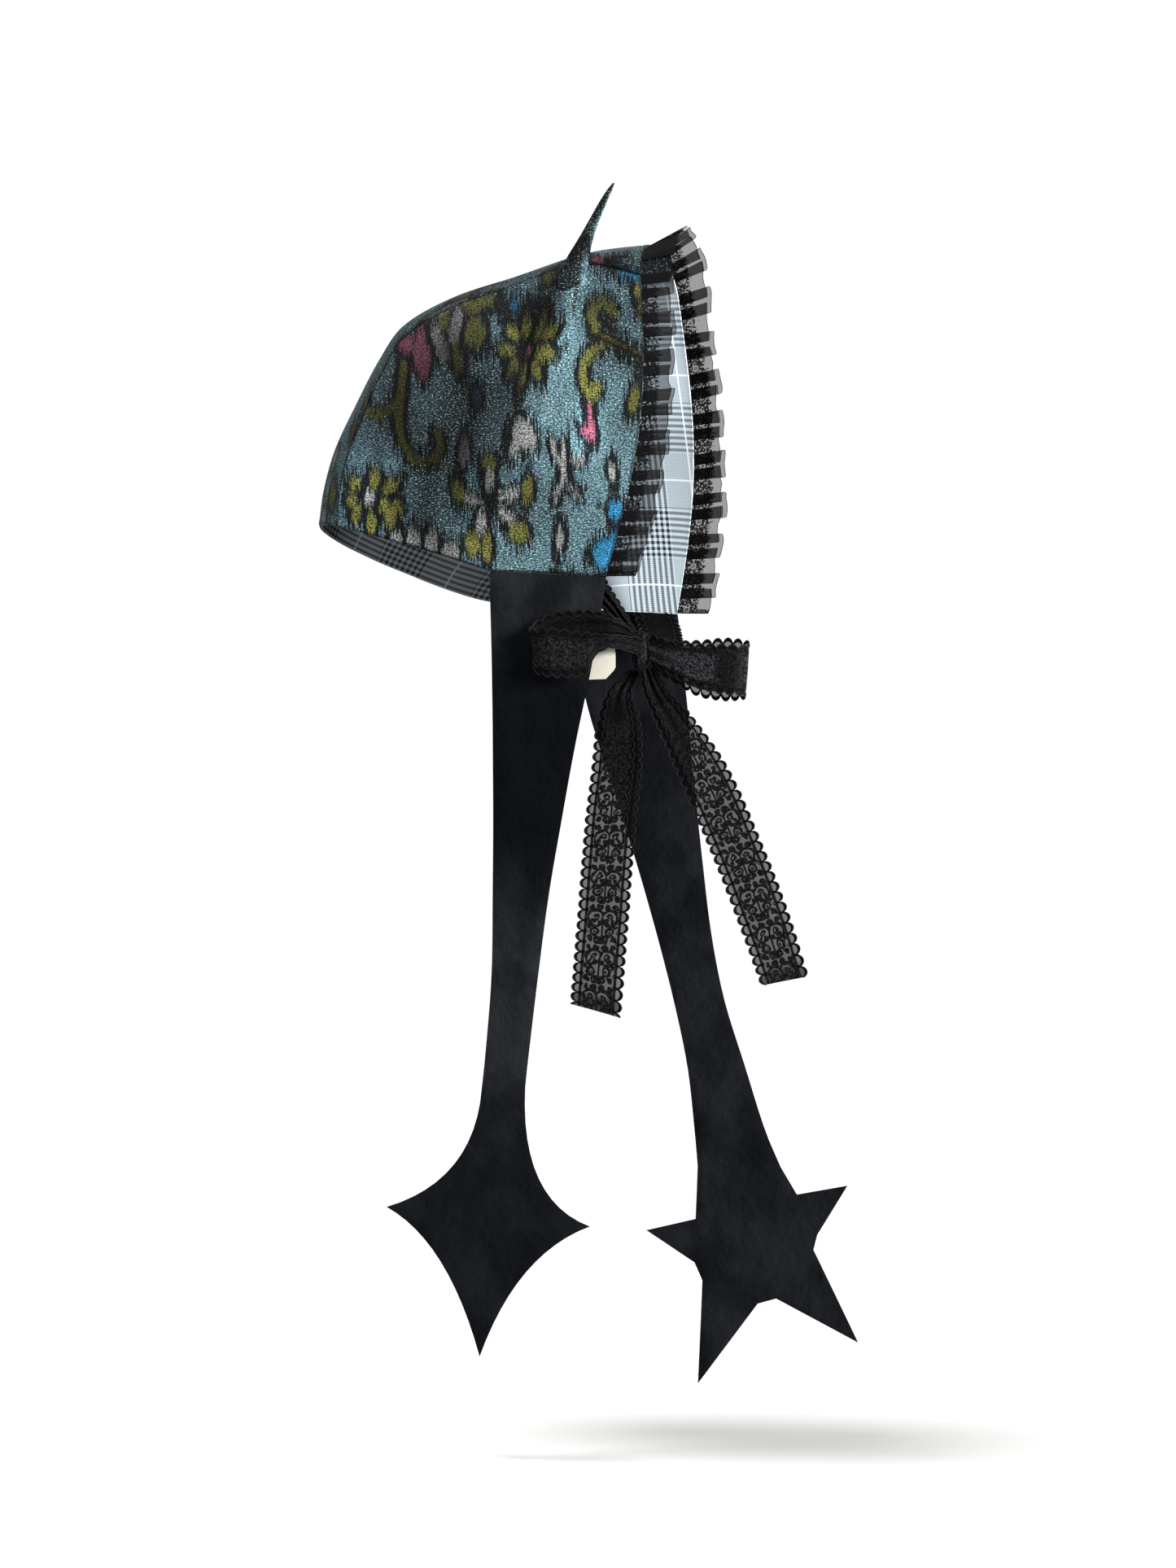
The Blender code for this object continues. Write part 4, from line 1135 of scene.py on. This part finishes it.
def add_horn(piece):
    """The slender horn, flaring out of the panel at its foot."""
    ways = np.concatenate((np.linspace(-0.2, 0.2, 26), np.linspace(0.22, 1, 60)))
    radius, lift = (between(HORN_RINGS, ways) * MM).T[..., None]
    angles = np.arange(HORN_SIDES) / HORN_SIDES * 2 * np.pi
    turn = -math.sqrt(HORN_DROP)
    middle = crown_point(HORN_SHARE, turn)
    share_pace = np.linalg.norm(crown_point(HORN_SHARE + NUDGE, turn) - middle) / NUDGE
    turn_pace = np.linalg.norm(crown_point(HORN_SHARE, turn + NUDGE) - middle) / NUDGE
    share = HORN_SHARE + np.cos(angles) * radius / share_pace
    turns = turn + np.sin(angles) * radius / turn_pace
    outward, _ = crown_frame(share, turns)
    low = crown_point(share, turns) + outward * lift[..., None]
    normal, _ = crown_frame(HORN_SHARE, turn)
    foot = middle - normal * HORN_FOOT

    def axis(way):
        return arc_point(foot, HORN_BEND, HORN_TIP, way)

    way = np.clip(ways, 0, 1)[:, None]
    straight = unit(axis(way + 0.02) - axis(way - 0.02))
    along = unit(mix(normal, straight, smooth(0, 0.4, way)))
    backward = unit(np.cross(along, (1, 0, 0)))
    inward = np.cross(backward, along)
    swell = 1 + 0.05 * np.cos(angles * 3 + 1) * smooth(0.1, 0.3, way)
    high = axis(way)[:, None] + spokes(angles, backward, inward) * (radius * swell)[..., None]
    body = mix(low, high, smooth(0, 0.16, ways)[:, None, None])
    tip = np.repeat(axis(np.ones((1, 1)))[:, None] + straight[-1] * HORN_END, HORN_SIDES, axis=1)
    body = np.concatenate((body, tip))
    fields = ikat_fields(*picture_place(body))
    rise = np.append(ways, 1)[:, None]
    # Painted light and shade on the horn: dark on the side towards the neck, light on the side towards the
    # face, blending into the panel's at its foot
    facing = 0.29 * np.sin(angles) - 0.96 * np.cos(angles)
    edge = mix(-0.1, 0.40, smooth(-0.10, 0.30, rise))
    horn_painted_shading = mix(0.09, 1.10, smooth(edge, edge + 0.55, facing))
    painted_shading = fields["print_place"][..., 2]
    fields["print_place"][..., 2] = mix(painted_shading, horn_painted_shading, smooth(-0.16, 0.02, rise))
    piece.grid(body, fields, wrap=True)


def make_band(material):
    """The crown's middle strip, over the crest from face to neck."""
    share = edge_spaced(BAND_ROWS)[:, None]
    edge = seam_edge(share, -1)
    turn = mix(-edge, edge, edge_spaced(BAND_COLUMNS)[None, :])

    def relief(base, distance):
        return pucker(distance, arcs(base, 0), 5.0)

    def chart(base):
        column, row = picture_place(base[:, 0])
        slope = unit(np.stack((np.gradient(column), np.gradient(row)), -1))
        away = arcs(base, 1) / PIXEL
        return column[:, None] - slope[:, 1:] * away, row[:, None] + slope[:, :1] * away

    names = ("crown_band_cloth", "crown_band")
    make_shell(*names, (0.13, 0.37), share, turn, relief, chart, BAND_PAINTED_SHADE, material)


def make_lining(material):
    """The plaid lining, a little inside the crown."""
    turn, share = np.meshgrid(mix(-1, 1, edge_spaced(LINING_COLUMNS)), edge_spaced(LINING_ROWS))
    base = crown_point(share, turn)
    outward, _ = crown_frame(share, turn)
    along, across = arcs(base, 0), arcs(base, 1)
    slack = 0.25 * MM * ripple(along / (19 * MM), 3.3) * ripple(across / (23 * MM), 0.7)
    outer = base - outward * (WALL + LINING_GAP)
    inner = outer - outward * (LINING - np.minimum(slack, 0))[..., None]
    # Painted shade inside the back of the left side and along the neck edge, painted shade at the right
    # side's face edge, and painted light towards the top
    hidden = np.maximum(smooth(0.35, 0.6, share) * smooth(0.3, 0.6, turn), smooth(0.78, 0.88, share))
    painted_shading = mix(1, mix(0.15, 0.06, smooth(0.1, 0.6, turn)), hidden)
    painted_shading = painted_shading * np.where(turn < 0, mix(0.04, 1, smooth(2 * MM, 6 * MM, along)), 1)
    painted_shading = painted_shading * mix(1, 1.4, smooth(-0.13, -0.07, base[..., 2]))
    height = np.where(turn < 0, across, across[:, -1:] - across)
    high = np.minimum(height, PLAID_TOP)
    lean = (PLAID_LEAN * high - PLAID_BEND * high * high) * smooth(0.75, 0.35, share)
    from_neck = NECK_GROUP - (along[-1:] - along)
    place = np.where(share > NECK_FACING, from_neck, along - lean)
    piece = Piece()
    piece.sheet(outer, inner, {"weave_place": np.stack((place, height, painted_shading), -1)})
    item = attach(piece.build("lining_cloth", material), "plaid_lining", "lining")


def even_turns(count):
    """Turns along the face edge that are spaced evenly along its length."""
    turns = np.linspace(-1, 1, 601)
    run = arcs(crown_point(0, turns), 0)
    return np.interp(np.linspace(0, run[-1], count + 1), run, turns)


def make_ruffle(material):
    """The box-pleated strip along the face edge."""
    pleat = [*PLEAT_STEPS, *[(2 * PLEAT_MIDDLE - step.place, step.layer) for step in PLEAT_STEPS[-2:0:-1]]]
    steps = np.array([(number + place, layer, number) for number in range(PLEATS) for place, layer in pleat])
    last = [(PLEATS - way, 0, PLEATS - 1) for way in (0.24, 0.18, 0.12, 0)]
    steps = np.concatenate(([(0, 0, 0)], steps[steps[:, 0] > 0.02], last))
    place, layer, number = np.split(steps, 3, axis=1)
    turns = even_turns(PLEATS * PLEAT_CELLS)
    turn = np.interp(np.clip(place, 0, PLEATS) * PLEAT_CELLS, np.arange(len(turns)), turns)
    way = np.linspace(0, 1, RUFFLE_CELLS + 1)[None, :]
    outward, backward = crown_frame(0, turn)
    crestwards = np.exp(-((turn / TOP_REACH) ** 2))
    flare = (SIDE_FLARE + TOP_FLARE * crestwards)[..., None]
    forward = outward * np.sin(flare) - backward * np.cos(flare)
    normal = outward * np.cos(flare) + backward * np.sin(flare)
    foot = crown_point(0, turn) - outward * (WALL + LINING_GAP + LINING) / 2 - backward * RUFFLE_GAP
    length = RUFFLE_WIDTH + TOP_WIDTH * crestwards + PLEAT_EXTRA * smooth(0.4, 1, layer / 2)
    length = length + LOW_EXTRA * smooth(0.6, 0.95, turn)
    length = length - NEAR_TRIM * smooth(-0.3, -0.5, turn) * smooth(-0.92, -0.75, turn)
    length = length + (0.6 * np.sin(number * 2.3) + 0.7 * np.sin(place * 8.3 + 1)) * MM
    tall = PLEAT_RISE * (1 + 0.22 * np.sin(number * 1.9 + 0.5))
    lift = tall * layer / 2 * mix(0.22, 1, way ** 0.9)
    sway = (0.9 * np.sin(number * 2.9 + 1) + 0.8 * np.sin(place * 13.7)) * MM * way ** 1.5
    thick = unit(mix(outward, normal, way[..., None]))
    side = np.gradient(crown_point(0, turns), axis=0)
    side = unit(np.stack([np.interp(turn, turns, part) for part in side.T], -1))
    points = foot + forward * (length * way)[..., None] + thick * lift[..., None] + side * sway[..., None]
    strip = arcs(points, 0)[:, [RUFFLE_CELLS // 2]]
    width = arcs(points, 1)
    ends = np.minimum(strip, strip[-1:] - strip)
    hem = np.minimum(length * (1 - way), ends / 2)
    even = np.zeros(width.shape)
    reach = LACE_EXTRA * smooth(0.42, 0.58, turn) + 3 * MM * np.exp(-((turn - 0.05) / 0.12) ** 2)
    cover = smooth(CAP_START, CAP_FULL, turn) * smooth(CAP_END, CAP_FADE, turn)
    cover = np.maximum(cover, smooth(HEM_CAP + 0.8 * MM, HEM_CAP, ends))
    fields = {
        "strip_place": np.stack((strip + even, width, even), -1),
        "hem_place": np.stack((hem, cover + even, reach + even), -1),
    }
    piece = Piece()
    piece.grid(points, fields)
    item = attach(piece.build("ruffle_organza", material, sharp=180), "pleated_organza", "ruffle")


def table_points(rows, at):
    """Both edges of a ribbon's table at each way."""
    forward_a, side_a, up_a, forward_b, side_b, up_b = between(rows, at).T * MM
    return np.stack((side_a, -forward_a, up_a), -1), np.stack((side_b, -forward_b, up_b), -1)


def make_ribbon(lace, materials):
    """A lace ribbon with scalloped edges, cord lines and a soft roll across its width."""
    ways = np.linspace(0, 1, 400)
    first, second = table_points(lace.rows, ways)
    run = arcs((first + second) / 2, 0)
    total = float(run[-1])
    length = np.linspace(0, total, max(int(total / LACE_STEP), 24))
    way = np.interp(length, run, ways)
    first, second = table_points(lace.rows, way)
    middle, half = (first + second) / 2, (second - first) / 2
    size = np.linalg.norm(half, axis=-1)
    gather = np.clip(size / (LACE_WIDTH / 2), 0.2, 1)
    lobe = np.abs(np.sin(np.pi * length / SCALLOP)) ** 0.55
    column = np.linspace(-1, 1, LACE_COLUMNS * 2 + 1)
    side = column * mix(1 - SCALLOP_DEPTH, 1, lobe)[:, None]
    along = unit(np.gradient(middle, axis=0))
    normal = unit(np.cross(along, unit(half)))
    roll = lace.crown * MM * (1 - side ** 2) * ripple(length / (24 * MM), lace.seed)[:, None]
    folds = (1 - gather)[:, None] * 1.3 * MM * np.cos(side * 9 + lace.seed)
    flutter = 0.5 * MM * side ** 2 * ripple(length / (7 * MM), lace.seed + 2)[:, None]
    slant = lace.cut * MM * side * smooth(0.9, 1, way)[:, None]
    points = middle[:, None] + half[:, None] * side[..., None]
    points = points + normal[:, None] * (roll + folds + flutter)[..., None]
    points = points + along[:, None] * slant[..., None]
    even = np.zeros(side.shape)
    # Painted shade along a stretch of the ribbon, and painted highlights as strong as its shine
    dark = smooth(lace.dark_from - 0.03, lace.dark_from + 0.03, way)
    dark = dark * smooth(lace.dark_to + 0.02, lace.dark_to - 0.01, way)
    painted_shading = lace.shine * (1 - 0.95 * dark)[:, None] + even
    net = mix(lace.net, 0.97, smooth(0.95, 0.97, way))[:, None] + even
    fields = {
        "lace_place": np.stack((length[:, None] + even, side * LACE_WIDTH / 2, np.abs(column) + even), -1),
        "lace_painted_shading_and_net": np.stack((painted_shading, net, painted_shading), -1),
    }
    piece = Piece()
    piece.grid(points, fields)
    item = attach(piece.build(lace.name, materials[0], sharp=180), "lace", lace.node)
    cords = Piece()
    inner = int(LACE_COLUMNS * 0.33)
    for index, lift, radius in ((0, 0, 1), (-1, 0, 1), (inner, 0.25, 0.8), (-1 - inner, 0.25, 0.8)):
        cords.tube(points[:, index] + normal * lift * MM, normal, CORD_RADIUS * radius)
    trim = cords.build(lace.name + "_cords", materials[1])
    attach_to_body(trim, "root")


def make_knot(materials):
    """The wrapped knot: a lump with upright folds."""
    around = np.arange(KNOT_SIDES) / KNOT_SIDES * 2 * np.pi
    high = np.linspace(-1, 1, KNOT_RINGS)[:, None] * np.pi / 2
    gather = 0.10 * np.abs(np.sin(around * 3.5 + 0.6 * np.sin(high * 2)))
    fine = 0.025 * np.sin(around * 23 + high * 3)
    pinch = 1 - 0.10 * np.cos(high * 1.6) ** 2
    ring = np.cos(high) ** 0.72 * (0.84 + gather + fine) * pinch
    z = np.sin(high) + 0 * around
    points = KNOT_CENTRE + np.stack((np.cos(around) * ring, np.sin(around) * ring, z), -1) * KNOT_SIZE / 2
    aside = (around / np.pi - 1) * LACE_WIDTH / 3 + 0 * z
    place = np.stack((z * KNOT_SIZE[2] / 2, aside, 0.5 + 0 * z), -1)
    piece = Piece()
    piece.grid(points, {"lace_place": place, "lace_painted_shading_and_net": np.zeros(points.shape) + KNOT_PAINTED_SHADING_AND_NET}, wrap=True)
    item = attach(piece.build("knot_lace", materials[0]), "lace", "bow_knot")


def strap_outline(strap, star):
    """A strap's outline as forward and up: down its rear edge, round its star and back."""
    heights = np.linspace(strap[-1].up, strap[0].up, STRAP_ROWS + 1)
    rear, front = between(strap, heights).T
    gap = HEM_DROP / MM
    down = [(HEM_BACK.forward, HEM_BACK.up - gap), *zip(rear, heights)]
    back = list(zip(front, heights))[-2::-1]
    return [*down, *star, *back, (HEM_FRONT.forward, HEM_FRONT.up - gap)]


def four_point_star():
    """Corners round the four-point star, ending at the strap's front edge."""
    points = []
    ways = np.arange(1, ARC_STEPS + 1)[:, None] / ARC_STEPS
    start = np.array((STRAP_RIGHT[0].rear, STRAP_RIGHT[0].up))
    for arc in STAR_FOUR:
        bend, end = np.array(arc[:2]), np.array(arc[2:])
        points += arc_point(start, bend, end, ways).tolist()
        start = end
    return points


def five_point_star():
    """Corners round the five-point star, ending at the strap's front edge."""
    return [*STAR_FIVE, (STRAP_LEFT[0].front, STRAP_LEFT[0].up)]


def cut_square(shape, cell):
    """Cut a flat outline into cells."""
    for axis in (1, 2):
        places = [vert.co[axis] for vert in shape.verts]
        facing = Vector((0, 0, 0))
        facing[axis] = 1
        level = min(places) + cell
        while level < max(places) - cell / 3:
            parts = shape.verts[:] + shape.edges[:] + shape.faces[:]
            bmesh.ops.bisect_plane(shape, geom=parts, dist=1e-7, plane_co=facing * level, plane_no=facing)
            level += cell
    bmesh.ops.triangulate(shape, faces=[face for face in shape.faces if len(face.verts) > 4])


def make_strap(name, node, outline, sign, material):
    """A flat strap cut fine, rounded at its edges and softly creased."""
    shape = bmesh.new()
    border = [(-forward * MM, up * MM) for forward, up in outline]
    shape.faces.new([shape.verts.new((0, y, z)) for y, z in border])
    cut_square(shape, STRAP_CELL)
    grown = bmesh.ops.extrude_face_region(shape, geom=shape.faces[:])["geom"]
    lifted = {item for item in grown if isinstance(item, bmesh.types.BMVert)}
    y, z = np.array([vert.co[1:] for vert in shape.verts]).T
    top = HEM_FRONT.up * MM
    high = top - z.min()
    inset = stroke_distance(y, z, border + border[:1], 0)
    down = np.maximum(top - z, 0) / high
    sway = STRAP_SWAY * np.sin(down * STRAP_SWAYS * 2 * np.pi) * np.minimum(down / SWAY_START, 1)
    crease = ripple((y * 0.8 + z * 0.35) / (17 * MM), 1.0 + sign) * ripple((z - y * 0.5) / (38 * MM), 3.0)
    fine = ripple((y - z * 0.4) / (9 * MM), 2.0) * ripple((z + y) / (13 * MM), 5.0 + sign)
    relief = (0.9 * crease + 0.35 * fine) * MM * smooth(0, 8 * MM, inset) * smooth(0, 0.04, down)
    thick = STRAP_WALL / 2 * mix(0.45, 1, smooth(0, 3 * MM, inset))
    for vert, depth, bend, lump in zip(shape.verts, thick, sway, relief):
        face = depth if vert in lifted else -depth
        vert.co.x = sign * (HALF_WIDTH - STRAP_WALL / 2 + bend + lump + face)
    bmesh.ops.recalc_face_normals(shape, faces=shape.faces)
    mesh = bpy.data.meshes.new(name)
    shape.to_mesh(mesh)
    shape.free()
    item = attach(place_mesh(mesh, material, 60), "strap_cotton", node)


def make_label(material):
    """The plain label: a tape folded in two, with one corner cut off."""
    rows = np.linspace(LABEL_TOP, LABEL_BOTTOM, LABEL_ROWS)
    cut = LABEL_FRONT - LABEL_CUT * np.clip((LABEL_BOTTOM + LABEL_CUT - rows) / LABEL_CUT, 0, 1)
    above = (rows - LABEL_BOTTOM - LABEL_SLANT) / (LABEL_TOP - LABEL_BOTTOM - LABEL_SLANT)
    slant = LABEL_FRONT - LABEL_CUT * np.clip(above, 0, 1)
    strap_front = np.interp(rows, [edge.up for edge in STRAP_RIGHT], [edge.front for edge in STRAP_RIGHT])
    hidden = smooth(LABEL_HIDDEN - 6, LABEL_HIDDEN, rows)
    front = mix(np.minimum(cut, slant), np.minimum(slant, strap_front - 3), hidden)
    way = np.linspace(0, 1, LABEL_COLUMNS)[None, :]
    curl = 0.10 * np.sin(way * 3) * smooth(LABEL_TOP, LABEL_BOTTOM, rows)[:, None]
    piece = Piece()
    for leaf in LABEL_LEAVES:
        forward = mix(LABEL_BACK, (front - leaf.back)[:, None], way)
        up = rows[:, None] + leaf.up + 0 * forward
        sheet = np.stack((LABEL_SIDE + leaf.side + curl, -forward, up), -1) * MM
        piece.sheet(sheet + (LABEL_THICK, 0, 0), sheet, {})
    item = attach(piece.build("care_label_tape", material), "label_tape", "care_label")


def make_camera():
    """The camera of the picture."""
    data = bpy.data.cameras.new("camera")
    data.sensor_width = SENSOR_MM
    data.lens = DISTANCE / PIXEL / PICTURE_HEIGHT * SENSOR_MM
    data.clip_start = 0.05
    data.clip_end = 60
    camera = add_object("camera", data)
    camera.matrix_world = Matrix((*zip(RIGHT, UP, BACK, EYE), (0, 0, 0, 1)))
    bpy.context.scene.camera = camera


def add_sun(sun):
    """A soft distant light."""
    data = bpy.data.lights.new(sun.name, "SUN")
    data.energy = sun.strength
    data.angle = math.radians(sun.spread)
    data.color = sun.colour
    light = add_object(sun.name, data)
    away = Vector(direction(math.radians(sun.azimuth), math.radians(sun.elevation)))
    light.location = away * SUN_AWAY
    light.rotation_euler = away.to_track_quat("Z", "Y").to_euler()


def make_studio():
    """A white floor, white light all round that is weaker from above, and two soft lights."""
    world = bpy.data.worlds.new("studio")
    bpy.context.scene.world = world
    world.use_nodes = True
    nodes, links = world.node_tree.nodes, world.node_tree.links
    background = nodes["Background"]
    background.inputs["Color"].default_value = (1, 1, 1, 1)
    split = nodes.new("ShaderNodeSeparateXYZ")
    links.new(nodes.new("ShaderNodeTexCoord").outputs["Generated"], split.inputs[0])
    ramp = nodes.new("ShaderNodeMapRange")
    ramp.interpolation_type = "SMOOTHSTEP"
    for name, value in (("From Min", 0.45), ("From Max", 0.85), ("To Min", 1.02), ("To Max", 0.40)):
        ramp.inputs[name].default_value = value
    links.new(split.outputs["Z"], ramp.inputs["Value"])
    links.new(ramp.outputs[0], background.inputs["Strength"])
    mesh = bpy.data.meshes.new("floor")
    corners = [(x * FLOOR_REACH, y * FLOOR_REACH, CAD_LOW.z - FLOOR_DROP) for x, y in FLOOR_CORNERS]
    mesh.from_pydata(corners, [], [(0, 1, 2, 3)])
    g = Graph("floor_white")
    g.set(Base_Color=(0.44, 0.44, 0.44), Roughness=0.9, Specular_IOR_Level=0.0)
    mesh.materials.append(g.material)
    add_object("floor", mesh)
    for sun in SUNS:
        add_sun(sun)
    bpy.context.scene.view_settings.view_transform = "Standard"


def make_crown():
    """Crown, lining and ruffle."""
    ikat = ikat_material()
    make_lining(plaid_material())
    make_panel(-1, ikat)
    make_panel(1, ikat)
    make_band(ikat)
    make_ruffle(organza_material())


def make_bow():
    """Ties, loops, tails and knot."""
    materials = (lace_material(), cord_material())
    make_knot(materials)
    for lace in LACES:
        make_ribbon(lace, materials)


def make_straps():
    """Both star-ended straps and the label."""
    cotton = cotton_material()
    right = strap_outline(STRAP_RIGHT, four_point_star())
    left = strap_outline(STRAP_LEFT, five_point_star())
    make_strap("right_strap_cloth", "strap_right", right, -1, cotton)
    make_strap("left_strap_cloth", "strap_left", left, 1, cotton)
    make_label(tape_material())


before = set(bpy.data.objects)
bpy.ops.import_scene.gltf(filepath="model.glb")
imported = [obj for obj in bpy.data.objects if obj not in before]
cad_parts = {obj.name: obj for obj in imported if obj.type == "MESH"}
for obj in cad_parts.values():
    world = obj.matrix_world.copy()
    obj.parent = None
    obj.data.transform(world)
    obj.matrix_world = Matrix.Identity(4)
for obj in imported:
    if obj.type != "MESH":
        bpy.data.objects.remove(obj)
CAD_LOW, CAD_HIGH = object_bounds()
make_camera()
make_studio()
make_crown()
make_bow()
make_straps()
